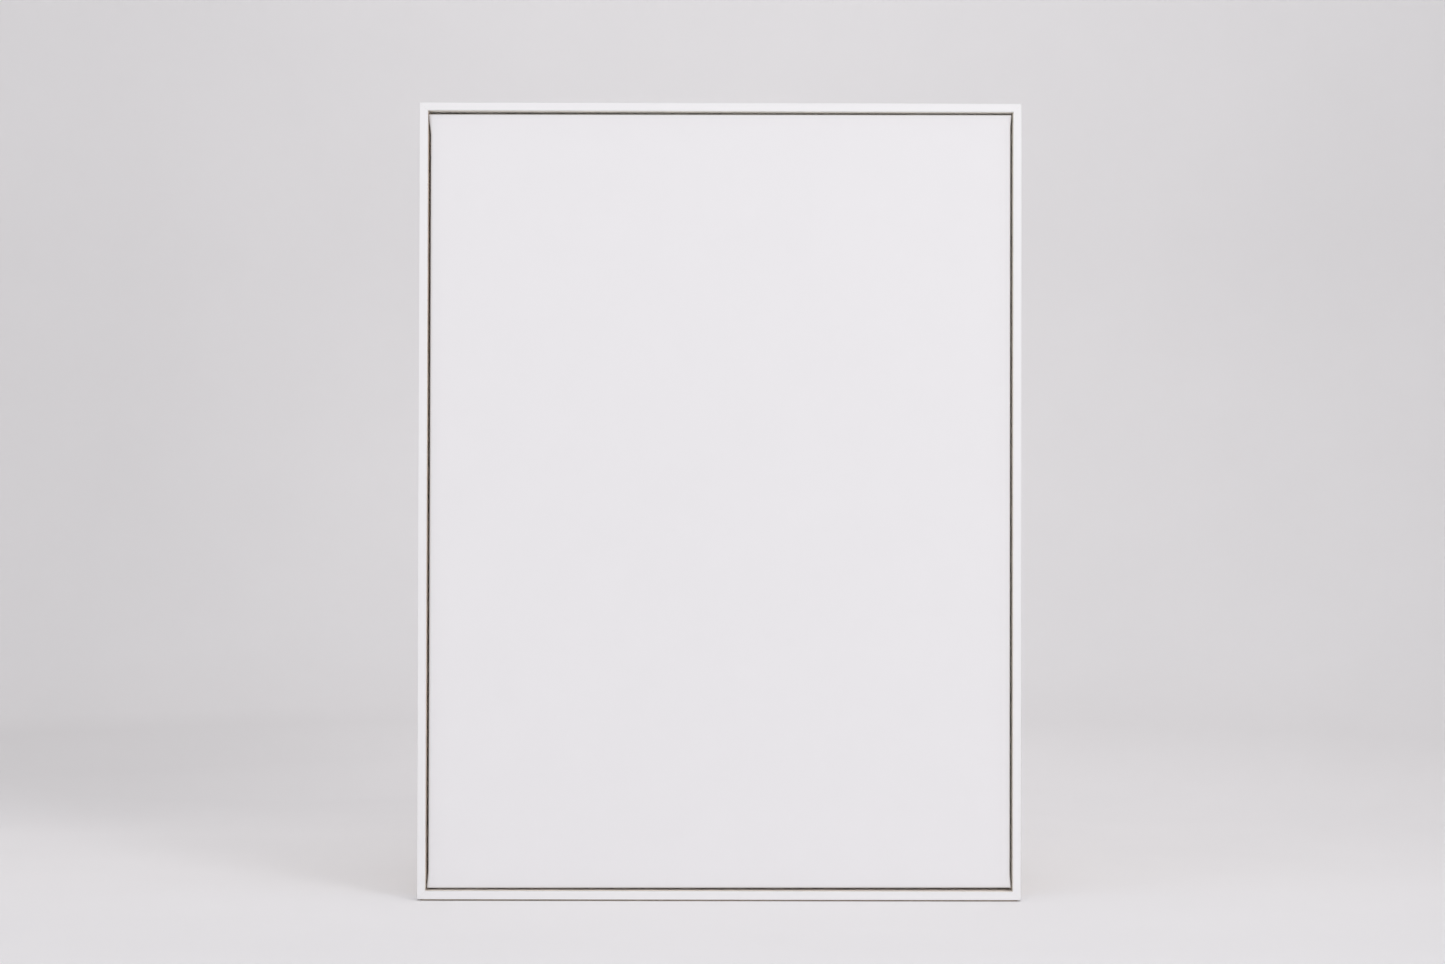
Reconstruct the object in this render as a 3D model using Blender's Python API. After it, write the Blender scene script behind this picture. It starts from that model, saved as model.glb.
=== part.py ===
"""A white float frame that holds a stretched canvas, standing upright on a felt strip.

Metres, +Z up. The front faces -Y and the origin is the middle of the felt strip's underside.
"""

import math

import bmesh
import bpy
from mathutils import Vector

MM = 0.001
FIT = 0.3 * MM  # clearance between pieces that touch
OVERRUN = 2.0 * MM  # how far a cutter reaches past the face that it opens
ARC_STEPS = 3  # facets of a small rounded edge
ROUND_SIDES = 16  # facets of a screw, hole or bumper
CROWN_STEPS = 4  # facets of a screw head's crown

# Stretched canvas: a standard 30 x 40 inch format, gallery depth
CANVAS_WIDTH = 762.0 * MM
CANVAS_HEIGHT = 1016.0 * MM
CANVAS_DEPTH = 38.0 * MM
CLOTH_THICKNESS = 0.6 * MM
CLOTH_RETURN = 34.0 * MM  # turned over the back of the bars
FOLD_TIP_LENGTH = 14.0 * MM  # of a folded corner at the front, along the left and right sides
FOLD_TIP_PROUD = 2.0 * MM  # how far a folded corner stands out at the front
FOLD_LAYERS = 2  # of cloth that a folded corner adds at the back
FOLD_STEPS = 4

# Frame moulding: an outer wall and a ledge behind the canvas
SHADOW_GAP = 3.5 * MM
FACE_WIDTH = 11.0 * MM
FRAME_DEPTH = 52.0 * MM
LEDGE_WIDTH = 30.0 * MM
LEDGE_THICKNESS = 9.0 * MM
ARRIS_RADIUS = 0.6 * MM

# Corner nails, driven into the back across each mitre
NAIL_WING = 6.0 * MM
NAIL_THICKNESS = 0.6 * MM
NAIL_DEPTH = 12.0 * MM  # in the wall
NAIL_COVER = 2.0 * MM  # timber left in front of a nail in the ledge

# Stretcher bars, with a tongue and a slot at each end
BAR_WIDTH = 38.0 * MM
BAR_BEVEL = 3.0 * MM  # fall of the front face, away from the cloth
LIP_RADIUS = 1.5 * MM
LIP_WIDTH = 5.0 * MM
TONGUE_THICKNESS = 6.0 * MM
TONGUE_SPACING = 14.0 * MM  # between the middles of the two tongues in a corner
TONGUE_INSET = 4.0 * MM  # from the outer edges of the corner
TONGUE_ROOT = 12.0 * MM  # of the tongue inside its own bar
TONGUE_SIDE = 0.5 * MM  # from the inner edge of its bar

# Keys, the wedges that spread a corner
KEY_LENGTH = 42.0 * MM
KEY_SEATED = 26.0 * MM  # inside its slot
KEY_TIP_WIDTH = 5.0 * MM
KEY_TAIL_WIDTH = 11.0 * MM

# Cross brace between the long bars
BRACE_WIDTH = 38.0 * MM
BRACE_THICKNESS = 18.0 * MM
BRACE_SETBACK = 3.0 * MM  # behind it, to the back of the bars
BRACE_TONGUE_LENGTH = 12.0 * MM
BRACE_TONGUE_WIDTH = 26.0 * MM
BRACE_TONGUE_THICKNESS = 6.0 * MM

# Screws
SCREW_RADIUS = 1.7 * MM
SCREW_TIP_RADIUS = 0.4 * MM
SCREW_TIP_LENGTH = 3.0 * MM
HEAD_RADIUS = 3.6 * MM
HEAD_HEIGHT = 2.2 * MM
HEAD_RIM = 0.7 * MM  # straight side of the head, below its crown
SCREW_BITE = 12.0 * MM  # of a canvas screw in its bar
CANVAS_SCREW_INSET = 150.0 * MM  # from the outer corner to the nearest screw
HANGER_SCREW_COVER = 1.5 * MM  # timber left in front of a hanger screw

# Hangers: a folded steel strap with a ring in its eye
HANGER_DROP = 260.0 * MM  # from the top of the frame to the ring's axis
STRAP_WIDTH = 12.0 * MM
STRAP_SHEET = 1.2 * MM
STRAP_HOLE_SPACING = 14.0 * MM
STRAP_END = 7.0 * MM  # past the last hole
STRAP_CORNER = 5.0 * MM
RING_WIRE_RADIUS = 1.5 * MM
RING_PLAY = 0.4 * MM  # all round the wire in the eye
RING_WIDTH = 23.0 * MM  # between the middles of the ring's two sides
RING_DROP = 16.0 * MM  # from the axis to the middle of the bow
RING_CORNER = 3.2 * MM
RING_BOW_CORNER = 9.0 * MM
RING_ARC_STEPS = 6
EYE_STEPS = 14
STRAP_CORNER_STEPS = 5

# Wall bumpers
BUMPER_RADIUS = 6.0 * MM
BUMPER_TOP_RADIUS = 5.0 * MM
BUMPER_HEIGHT = 3.5 * MM
BUMPER_INSET = 70.0 * MM  # from the outer corner, along the bottom rail

# Felt strip that the bottom rail stands on
FELT_THICKNESS = 1.7 * MM
FELT_SETBACK = 4.0 * MM  # from the front, the back and the ends of the frame

# Places that follow from the sizes above, measured from the middle of the frame
BORDER = FACE_WIDTH + SHADOW_GAP
OUTER_WIDTH = CANVAS_WIDTH + 2 * BORDER
OUTER_HEIGHT = CANVAS_HEIGHT + 2 * BORDER
FRAME_FRONT = -FRAME_DEPTH / 2
FRAME_BACK = FRAME_DEPTH / 2
LEDGE_FRONT = FRAME_BACK - LEDGE_THICKNESS
RAIL_BACK_WIDTH = FACE_WIDTH + LEDGE_WIDTH

CLOTH_BACK = LEDGE_FRONT - FIT
CLOTH_FRONT = CLOTH_BACK - CANVAS_DEPTH
CLOTH_RADIUS = LIP_RADIUS + FIT + CLOTH_THICKNESS

SKIN = CLOTH_THICKNESS + FIT  # from the outside of the cloth to the bars
BARS_WIDTH = CANVAS_WIDTH - 2 * SKIN
BARS_HEIGHT = CANVAS_HEIGHT - 2 * SKIN
BAR_FRONT = CLOTH_FRONT + SKIN
BAR_BACK = CLOTH_BACK - SKIN
BAR_MIDDLE = (BAR_FRONT + BAR_BACK) / 2
UPRIGHT_TONGUE = BAR_MIDDLE + TONGUE_SPACING / 2
LEVEL_TONGUE = BAR_MIDDLE - TONGUE_SPACING / 2

SCREW_INSET = (BORDER + SKIN + RAIL_BACK_WIDTH) / 2  # middle of the ledge's overlap on the bars
CANVAS_SCREW_TIP = BAR_BACK - SCREW_BITE
HANGER_INSET = RAIL_BACK_WIDTH / 2
HANGER_HEIGHT = OUTER_HEIGHT / 2 - HANGER_DROP
HANGER_SCREW_TIP = LEDGE_FRONT + HANGER_SCREW_COVER

EYE_RADIUS = RING_WIRE_RADIUS + RING_PLAY
STRAP_BACK = FRAME_BACK + FIT
STRAP_FACE = STRAP_BACK + 2 * STRAP_SHEET
RING_AXIS = STRAP_BACK + STRAP_SHEET + EYE_RADIUS
RING_REST = math.asin((STRAP_FACE + FIT + RING_WIRE_RADIUS - RING_AXIS) / RING_DROP)
FIRST_HOLE = RING_DROP + RING_WIRE_RADIUS + HEAD_RADIUS + 2 * FIT
STRAP_HOLES = (FIRST_HOLE, FIRST_HOLE + STRAP_HOLE_SPACING)
STRAP_LENGTH = STRAP_HOLES[-1] + STRAP_END

FELT_TOP = -OUTER_HEIGHT / 2 - FIT
FELT_FOOT = FELT_TOP - FELT_THICKNESS

BRACE_BACK = BAR_BACK - BRACE_SETBACK
BRACE_MIDDLE = BRACE_BACK - BRACE_THICKNESS / 2
BRACE_HALF_LENGTH = BARS_WIDTH / 2 - BAR_WIDTH - FIT

SIDES = {"top": 0, "right": 90, "bottom": 180, "left": 270}  # turned from the top, in degrees
CORNERS = {
    "top_left": (-1, 1),
    "top_right": (1, 1),
    "bottom_left": (-1, -1),
    "bottom_right": (1, -1),
}


def new_material(name, colour, roughness, metallic=0.0):
    material = bpy.data.materials.new(name)
    material.use_nodes = True
    shader = material.node_tree.nodes["Principled BSDF"]
    shader.inputs["Base Color"].default_value = (*colour, 1.0)
    shader.inputs["Roughness"].default_value = roughness
    shader.inputs["Metallic"].default_value = metallic
    return material


def add_loft(bm, loops):
    """Adds a closed solid through equal loops of points, with its two ends capped."""
    rings = [[bm.verts.new(point) for point in loop] for loop in loops]
    count = len(rings[0])
    for near, far in zip(rings, rings[1:]):
        for i in range(count):
            j = (i + 1) % count
            bm.faces.new((near[i], near[j], far[j], far[i]))
    bm.faces.new(rings[0])
    bm.faces.new(rings[-1])
    bmesh.ops.recalc_face_normals(bm, faces=bm.faces)


def add_plate(bm, outline, front, back):
    """Adds the solid between two depths over an outline of (x, z) points."""
    add_loft(bm, [[(x, y, z) for x, z in outline] for y in (front, back)])


def circle(x, z, radius):
    steps = [2 * math.pi * k / ROUND_SIDES for k in range(ROUND_SIDES)]
    return [(x + radius * math.cos(a), z + radius * math.sin(a)) for a in steps]


def add_turned(bm, x, z, profile):
    """Adds a solid turned about a front-to-back axis, from (radius, depth) points."""
    add_loft(bm, [[(cx, y, cz) for cx, cz in circle(x, z, radius)] for radius, y in profile])


def arc(centre, radius, start, end, steps):
    angles = [math.radians(start + (end - start) * k / steps) for k in range(steps + 1)]
    return [(centre[0] + radius * math.cos(a), centre[1] + radius * math.sin(a)) for a in angles]


def rounded(corners, steps=ARC_STEPS):
    """The outline through (x, y, radius) corners, each turned by an arc of its radius."""
    outline = []
    for i, (x, y, radius) in enumerate(corners):
        here = Vector((x, y))
        if radius == 0:
            outline.append((x, y))
            continue
        before = (Vector(corners[i - 1][:2]) - here).normalized()
        after = (Vector(corners[(i + 1) % len(corners)][:2]) - here).normalized()
        half = before.angle(after) / 2
        centre = here + (before + after).normalized() * radius / math.sin(half)
        start = here + before * radius / math.tan(half) - centre
        end = here + after * radius / math.tan(half) - centre
        from_angle = math.degrees(math.atan2(start.y, start.x))
        turn = (math.degrees(math.atan2(end.y, end.x)) - from_angle + 180) % 360 - 180
        outline += arc(centre, radius, from_angle, from_angle + turn, steps)
    return outline


def add_piece(name, bm, material=None, origin=(0, 0, 0), smooth=False):
    """Makes a named object from a mesh that is drawn round the middle of the frame."""
    bmesh.ops.translate(bm, vec=-Vector(origin), verts=bm.verts)
    mesh = bpy.data.meshes.new(name)
    bm.to_mesh(mesh)
    bm.free()
    if smooth:
        mesh.shade_smooth()
        mesh.set_sharp_from_angle(angle=math.radians(35))
    if material:
        mesh.materials.append(material)
    piece = bpy.data.objects.new(name, mesh)
    piece.location = origin
    piece.parent = middle
    bpy.context.collection.objects.link(piece)
    return piece


def combine(piece, bm, operation):
    """Adds the mesh to the piece, or takes it away, with a hidden tool object."""
    tool = add_piece(f"{piece.name}_{operation.lower()}", bm)
    tool.hide_render = True
    tool.display_type = "WIRE"
    modifier = piece.modifiers.new(operation.title(), "BOOLEAN")
    modifier.operation = operation
    modifier.object = tool


def turned_to(side, points):
    """The (x, z) points drawn for the top side, turned to another side."""
    c = math.cos(math.radians(SIDES[side]))
    s = math.sin(math.radians(SIDES[side]))
    return [(x * c + z * s, z * c - x * s) for x, z in points]


def across(side, width, height):
    """A side's length and its distance from the middle, in a rectangle of this width and height."""
    if side in ("top", "bottom"):
        return width, height / 2
    return height, width / 2


def add_mitred(bm, side, profile, width, height):
    """Adds one side of a mitred rectangle. The profile is of (inset from the edge, depth) points."""
    length, reach = across(side, width, height)
    ends = []
    for sign in (-1, 1):
        spots = [(sign * (length / 2 - w - FIT / math.sqrt(2)), reach - w) for w, _ in profile]
        ends.append([(x, y, z) for (x, z), (_, y) in zip(turned_to(side, spots), profile)])
    add_loft(bm, ends)


def canvas_screws(side):
    """Where the screws through this side's ledge stand, as (x, z)."""
    length, reach = across(side, OUTER_WIDTH, OUTER_HEIGHT)
    end = length / 2 - CANVAS_SCREW_INSET
    along = (-end, end) if side in ("top", "bottom") else (-end, 0, end)
    return turned_to(side, [(x, reach - SCREW_INSET) for x in along])


def hanger_screws(side):
    """Where the screws of this side's hanger stand, as (x, z)."""
    if side not in ("left", "right"):
        return []
    x = (OUTER_WIDTH / 2 - HANGER_INSET) * (1 if side == "right" else -1)
    return [(x, HANGER_HEIGHT - drop) for drop in STRAP_HOLES]


def nail_outline(corner, apex, grow=0.0):
    """A corner nail's two wings, along the two rails from a point on the mitre."""
    near = apex - grow
    far = apex + NAIL_WING + grow
    thick = apex + NAIL_THICKNESS + grow
    steps = [(near, near), (far, near), (far, thick), (thick, thick), (thick, far), (near, far)]
    sx, sz = CORNERS[corner]
    return [(sx * (OUTER_WIDTH / 2 - u), sz * (OUTER_HEIGHT / 2 - v)) for u, v in steps]


# Each corner nail's place on the mitre and its depth
NAILS = {
    "outer": ((FACE_WIDTH - NAIL_WING) / 2, NAIL_DEPTH),
    "inner": (FACE_WIDTH + (LEDGE_WIDTH - NAIL_WING) / 2, LEDGE_THICKNESS - NAIL_COVER),
}


def make_rail(side, material):
    profile = rounded(
        [
            (0, FRAME_FRONT, ARRIS_RADIUS),
            (FACE_WIDTH, FRAME_FRONT, ARRIS_RADIUS),
            (FACE_WIDTH, LEDGE_FRONT, 0),
            (RAIL_BACK_WIDTH, LEDGE_FRONT, ARRIS_RADIUS),
            (RAIL_BACK_WIDTH, FRAME_BACK, ARRIS_RADIUS),
            (0, FRAME_BACK, ARRIS_RADIUS),
        ]
    )
    bm = bmesh.new()
    add_mitred(bm, side, profile, OUTER_WIDTH, OUTER_HEIGHT)
    rail = add_piece(f"frame_{side}_rail", bm, material)

    cuts = bmesh.new()
    for x, z in canvas_screws(side):
        hole = circle(x, z, SCREW_RADIUS + FIT)
        add_plate(cuts, hole, LEDGE_FRONT - OVERRUN, FRAME_BACK + OVERRUN)
    for x, z in hanger_screws(side):
        hole = circle(x, z, SCREW_RADIUS + FIT)
        add_plate(cuts, hole, HANGER_SCREW_TIP - FIT, FRAME_BACK + OVERRUN)
    for corner in CORNERS:
        if side in corner:
            for apex, depth in NAILS.values():
                slot = nail_outline(corner, apex, FIT)
                add_plate(cuts, slot, FRAME_BACK - depth - FIT, FRAME_BACK + OVERRUN)
    combine(rail, cuts, "DIFFERENCE")


def make_nails(material):
    for corner in CORNERS:
        for place, (apex, depth) in NAILS.items():
            bm = bmesh.new()
            add_plate(bm, nail_outline(corner, apex), FRAME_BACK - depth, FRAME_BACK - FIT)
            add_piece(f"corner_nail_{corner}_{place}", bm, material)


def in_corner(side, end, points):
    """Points measured (along, in) from a bar's outer corner, turned to its place."""
    length, reach = across(side, BARS_WIDTH, BARS_HEIGHT)
    return turned_to(side, [(end * (length / 2 - u), reach - v) for u, v in points])


def tongue_depths(side, grow=0.0):
    """The front and back of a side's tongues."""
    centre = LEVEL_TONGUE if side in ("top", "bottom") else UPRIGHT_TONGUE
    half = TONGUE_THICKNESS / 2 + grow
    return centre - half, centre + half


def slot_depths(side, grow=0.0):
    """The front and back of a side's slots, which take the tongues of its two neighbours."""
    return tongue_depths("left" if side in ("top", "bottom") else "top", grow)


def key_width(inset):
    """A key's width where it lies this far from the outer edge of the bar that it enters."""
    tip = BAR_WIDTH - KEY_SEATED
    return KEY_TIP_WIDTH + (KEY_TAIL_WIDTH - KEY_TIP_WIDTH) * (inset - tip) / KEY_LENGTH


def make_bar(side, material):
    profile = rounded(
        [
            (0, BAR_FRONT, LIP_RADIUS),
            (LIP_WIDTH, BAR_FRONT, LIP_RADIUS),
            (BAR_WIDTH, BAR_FRONT + BAR_BEVEL, LIP_RADIUS),
            (BAR_WIDTH, BAR_BACK, LIP_RADIUS),
            (0, BAR_BACK, LIP_RADIUS),
        ]
    )
    bm = bmesh.new()
    add_mitred(bm, side, profile, BARS_WIDTH, BARS_HEIGHT)
    bar = add_piece(f"stretcher_{side}_bar", bm, material)

    near = TONGUE_INSET
    far = BAR_WIDTH - TONGUE_SIDE
    root = BAR_WIDTH + TONGUE_ROOT
    tongues = bmesh.new()
    for end in (-1, 1):
        outline = in_corner(side, end, [(near, near), (root, near), (root, far), (near, far)])
        add_plate(tongues, outline, *tongue_depths(side))
    combine(bar, tongues, "UNION")

    cuts = bmesh.new()
    edge = near - FIT
    mouth = BAR_WIDTH + OVERRUN
    for end in (-1, 1):
        wall = [(BAR_WIDTH + key_width(v) + 2 * FIT, v) for v in (edge, mouth)]
        outline = in_corner(side, end, [(edge, edge), *wall, (edge, mouth)])
        add_plate(cuts, outline, *slot_depths(side, FIT))
    for x, z in canvas_screws(side):
        pilot = circle(x, z, SCREW_RADIUS + FIT)
        add_plate(cuts, pilot, CANVAS_SCREW_TIP - FIT, BAR_BACK + OVERRUN)
    if side in ("left", "right"):
        sign = 1 if side == "right" else -1
        mortise_x = [BRACE_HALF_LENGTH - OVERRUN, BRACE_HALF_LENGTH + BRACE_TONGUE_LENGTH + FIT]
        half = BRACE_TONGUE_WIDTH / 2 + FIT
        a, b = (sign * x for x in mortise_x)
        thick = BRACE_TONGUE_THICKNESS / 2 + FIT
        outline = [(a, -half), (b, -half), (b, half), (a, half)]
        add_plate(cuts, outline, BRACE_MIDDLE - thick, BRACE_MIDDLE + thick)
    combine(bar, cuts, "DIFFERENCE")


def make_keys(side, material):
    """The two wedges that stand in this bar's slots, each against its neighbour's tongue."""
    length, _ = across(side, BARS_WIDTH, BARS_HEIGHT)
    seat = BAR_WIDTH + FIT
    tip = BAR_WIDTH - KEY_SEATED
    tail = tip + KEY_LENGTH
    for end in (-1, 1):
        wedge = [
            (seat, tip),
            (seat + key_width(tip), tip),
            (seat + key_width(tail), tail),
            (seat, tail),
        ]
        outline = in_corner(side, end, wedge)
        front, back = slot_depths(side)
        bm = bmesh.new()
        add_plate(bm, outline, front, back)
        x, z = in_corner(side, end, [(seat, tail)])[0]
        if side in ("top", "bottom"):
            where = "right" if x > 0 else "left"
        else:
            where = "top" if z > 0 else "bottom"
        name = f"stretcher_key_{side}_bar_{where}"
        add_piece(name, bm, material, (x, (front + back) / 2, z))


def make_brace(material):
    body = (BRACE_WIDTH / 2, BRACE_THICKNESS / 2)
    tongue = (BRACE_TONGUE_WIDTH / 2, BRACE_TONGUE_THICKNESS / 2)
    shoulder = BRACE_HALF_LENGTH
    tip = BRACE_HALF_LENGTH + BRACE_TONGUE_LENGTH
    stations = [(-tip, tongue), (-shoulder, tongue), (-shoulder, body)]
    stations += [(shoulder, body), (shoulder, tongue), (tip, tongue)]
    corners = [(-1, -1), (1, -1), (1, 1), (-1, 1)]
    bm = bmesh.new()
    add_loft(
        bm,
        [
            [(x, BRACE_MIDDLE + sy * thick, sz * wide) for sz, sy in corners]
            for x, (wide, thick) in stations
        ],
    )
    add_piece("cross_brace", bm, material)


def cloth_ring(inset, depth, proud):
    """One loop round the canvas, its left and right sides pushed out at the folded corners.

    A fold starts at the front corner and widens towards the back by as much as it goes back.
    """
    half_width = CANVAS_WIDTH / 2 - inset
    half_height = CANVAS_HEIGHT / 2 - inset
    run = FOLD_TIP_LENGTH + depth - CLOTH_FRONT
    fold = []
    for k in range(FOLD_STEPS + 1):
        fade = 1 - k / FOLD_STEPS
        fold.append((half_width + proud * fade**2, half_height - run * (1 - fade)))
    right = fold + [(x, -z) for x, z in reversed(fold)]
    left = [(-x, -z) for x, z in right]
    return [(x, depth, z) for x, z in right + left]


def make_cloth(material):
    """The primed canvas as one sheet: front, sides, folded corners and the turned-over back."""
    r = CLOTH_RADIUS
    t = CLOTH_THICKNESS
    front_edge = arc((r, CLOTH_FRONT + r), r, 270, 180, ARC_STEPS)
    back_edge = arc((r, CLOTH_BACK - r), r, 180, 90, ARC_STEPS)
    inner_back = arc((r, CLOTH_BACK - r), r - t, 90, 180, ARC_STEPS)
    inner_front = arc((r, CLOTH_FRONT + r), r - t, 180, 270, ARC_STEPS)
    outside = [(inset, y, FOLD_TIP_PROUD) for inset, y in front_edge]
    outside += [(inset, y, FOLD_LAYERS * t) for inset, y in back_edge]
    hem = [(CLOTH_RETURN, CLOTH_BACK, 0), (CLOTH_RETURN, CLOTH_BACK - t, 0)]
    inside = [(inset, y, 0) for inset, y in inner_back + inner_front]
    bm = bmesh.new()
    add_loft(bm, [cloth_ring(*station) for station in outside + hem + inside])
    cloth = add_piece("canvas_cloth", bm, material)

    cuts = bmesh.new()
    for side in SIDES:
        for x, z in canvas_screws(side):
            hole = circle(x, z, SCREW_RADIUS + FIT)
            add_plate(cuts, hole, CLOTH_BACK - t - FIT, CLOTH_BACK + OVERRUN)
    combine(cloth, cuts, "DIFFERENCE")


def make_screw(name, x, z, seat, tip, material):
    """A pan-head screw from its seat on the back to its tip in the timber."""
    dome = (HEAD_HEIGHT - HEAD_RIM) / HEAD_RADIUS
    crown = arc((0, 0), HEAD_RADIUS, 75, 0, CROWN_STEPS)
    profile = [(radius, seat + HEAD_RIM + rise * dome) for radius, rise in crown]
    profile += [
        (HEAD_RADIUS, seat),
        (SCREW_RADIUS, seat),
        (SCREW_RADIUS, tip + SCREW_TIP_LENGTH),
        (SCREW_TIP_RADIUS, tip),
    ]
    bm = bmesh.new()
    add_turned(bm, x, z, profile)
    add_piece(name, bm, material, smooth=True)


def make_screws(material):
    for side in SIDES:
        for number, (x, z) in enumerate(canvas_screws(side), 1):
            name = f"canvas_screw_{side}_{number}"
            make_screw(name, x, z, FRAME_BACK + FIT, CANVAS_SCREW_TIP, material)
        for number, (x, z) in enumerate(hanger_screws(side), 1):
            name = f"hanger_screw_{side}_{number}"
            make_screw(name, x, z, STRAP_FACE + FIT, HANGER_SCREW_TIP, material)


def make_strap(side, x, material):
    """A strip folded round the ring's straight leg, both layers screwed to the rail."""
    radius = EYE_RADIUS + STRAP_SHEET
    meet = math.degrees(math.asin((RING_AXIS - STRAP_FACE) / radius))
    eye = arc((0, RING_AXIS), radius, 270, -meet, EYE_STEPS)
    profile = eye + [(STRAP_LENGTH, STRAP_FACE), (STRAP_LENGTH, STRAP_BACK)]
    loops = []
    for edge in (-STRAP_WIDTH / 2, STRAP_WIDTH / 2):
        loops.append([(x + edge, y, HANGER_HEIGHT - drop) for drop, y in profile])
    bm = bmesh.new()
    add_loft(bm, loops)
    low = HANGER_HEIGHT - STRAP_LENGTH + FIT
    end_corners = []
    for edge in bm.edges:
        a, b = (vert.co for vert in edge.verts)
        if max(a.z, b.z) < low and abs(a.y - b.y) > STRAP_SHEET:
            end_corners.append(edge)
    bmesh.ops.bevel(
        bm,
        geom=end_corners,
        offset=STRAP_CORNER,
        segments=STRAP_CORNER_STEPS,
        profile=0.5,
        affect="EDGES",
    )
    strap = add_piece(f"hanger_strap_{side}", bm, material)

    cuts = bmesh.new()
    reach = STRAP_WIDTH / 2 + OVERRUN
    bore = circle(RING_AXIS, HANGER_HEIGHT, EYE_RADIUS)
    add_loft(cuts, [[(x + edge, y, z) for y, z in bore] for edge in (-reach, reach)])
    for screw_x, screw_z in hanger_screws(side):
        hole = circle(screw_x, screw_z, SCREW_RADIUS + FIT)
        add_plate(cuts, hole, STRAP_BACK - OVERRUN, STRAP_FACE + OVERRUN)
    combine(strap, cuts, "DIFFERENCE")


def make_ring(side, x, material):
    """A wire ring, hanging from its straight leg in the strap's eye."""
    half = RING_WIDTH / 2
    path = rounded(
        [
            (-half, 0, RING_CORNER),
            (half, 0, RING_CORNER),
            (half, -RING_DROP, RING_BOW_CORNER),
            (-half, -RING_DROP, RING_BOW_CORNER),
        ],
        RING_ARC_STEPS,
    )
    curve = bpy.data.curves.new(f"hanger_ring_{side}", "CURVE")
    curve.dimensions = "3D"
    curve.bevel_depth = RING_WIRE_RADIUS
    curve.bevel_resolution = 3
    spline = curve.splines.new("POLY")
    spline.points.add(len(path) - 1)
    for point, (px, pz) in zip(spline.points, path):
        point.co = (px, 0, pz, 1)
    spline.use_cyclic_u = True
    spline.use_smooth = True
    curve.materials.append(material)
    ring = bpy.data.objects.new(f"hanger_ring_{side}", curve)
    ring.location = (x, RING_AXIS, HANGER_HEIGHT)
    ring.rotation_euler = (RING_REST, 0, 0)
    ring.parent = middle
    bpy.context.collection.objects.link(ring)


def make_bumper(side, x, material):
    seat = FRAME_BACK + FIT
    top = seat + BUMPER_HEIGHT
    bm = bmesh.new()
    z = -OUTER_HEIGHT / 2 + RAIL_BACK_WIDTH / 2
    add_turned(bm, x, z, [(BUMPER_RADIUS, seat), (BUMPER_TOP_RADIUS, top)])
    add_piece(f"wall_bumper_{side}", bm, material, smooth=True)


def make_felt(material):
    """A square-cut strip under the bottom rail, set back so that only its shadow shows."""
    half_length = OUTER_WIDTH / 2 - FELT_SETBACK
    half_depth = FRAME_DEPTH / 2 - FELT_SETBACK
    corners = [(-1, -1), (1, -1), (1, 1), (-1, 1)]
    outline = [(sx * half_length, sy * half_depth) for sx, sy in corners]
    bm = bmesh.new()
    add_loft(bm, [[(x, y, z) for x, y in outline] for z in (FELT_FOOT, FELT_TOP)])
    add_piece("base_felt_strip", bm, material)


for old in list(bpy.data.objects):
    bpy.data.objects.remove(old)

middle = bpy.data.objects.new("frame_middle", None)
middle.location = (0, 0, -FELT_FOOT)
bpy.context.collection.objects.link(middle)

white_paint = new_material("white_paint", (0.83, 0.83, 0.83), 0.4)
primed_canvas = new_material("primed_canvas", (0.81, 0.8, 0.8), 0.85)
pine = new_material("pine", (0.69, 0.5, 0.3), 0.6)
key_beech = new_material("key_beech", (0.66, 0.44, 0.26), 0.6)
zinc_steel = new_material("zinc_steel", (0.62, 0.62, 0.6), 0.35, 1.0)
bright_steel = new_material("bright_steel", (0.7, 0.69, 0.67), 0.25, 1.0)
bumper_rubber = new_material("bumper_rubber", (0.05, 0.05, 0.05), 0.7)
base_felt = new_material("base_felt", (0.42, 0.37, 0.31), 0.95)

for side in SIDES:
    make_rail(side, white_paint)
    make_bar(side, pine)
    make_keys(side, key_beech)
make_nails(zinc_steel)
make_brace(pine)
make_cloth(primed_canvas)
make_felt(base_felt)
make_screws(zinc_steel)
for side, sign in (("left", -1), ("right", 1)):
    hanger_x = sign * (OUTER_WIDTH / 2 - HANGER_INSET)
    make_strap(side, hanger_x, bright_steel)
    make_ring(side, hanger_x, bright_steel)
    make_bumper(side, sign * (OUTER_WIDTH / 2 - BUMPER_INSET), bumper_rubber)
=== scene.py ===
import math
import random

import bmesh
import bpy
from mathutils import Matrix, Vector, noise


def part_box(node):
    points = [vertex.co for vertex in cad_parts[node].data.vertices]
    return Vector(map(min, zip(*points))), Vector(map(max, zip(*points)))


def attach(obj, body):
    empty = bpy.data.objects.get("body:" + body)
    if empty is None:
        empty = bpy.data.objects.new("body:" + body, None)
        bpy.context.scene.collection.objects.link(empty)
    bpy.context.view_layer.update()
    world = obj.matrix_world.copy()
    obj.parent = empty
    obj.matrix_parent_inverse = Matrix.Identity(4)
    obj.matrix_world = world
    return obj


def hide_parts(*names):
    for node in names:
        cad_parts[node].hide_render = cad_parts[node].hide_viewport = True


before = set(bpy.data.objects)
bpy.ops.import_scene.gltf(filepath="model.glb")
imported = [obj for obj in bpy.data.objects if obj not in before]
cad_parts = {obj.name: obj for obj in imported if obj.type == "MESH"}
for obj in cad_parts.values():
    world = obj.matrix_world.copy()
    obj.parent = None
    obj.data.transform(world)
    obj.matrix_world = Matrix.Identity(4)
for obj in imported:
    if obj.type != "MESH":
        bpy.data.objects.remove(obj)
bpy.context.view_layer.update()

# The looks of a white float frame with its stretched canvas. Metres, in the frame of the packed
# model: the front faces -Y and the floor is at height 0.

MM = 0.001
SIDES = {"top": 0, "right": 90, "bottom": 180, "left": 270}  # turned from the top, in degrees
CORNERS = {
    "top_left": (-1, 1),
    "top_right": (1, 1),
    "bottom_left": (-1, -1),
    "bottom_right": (1, -1),
}

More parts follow.
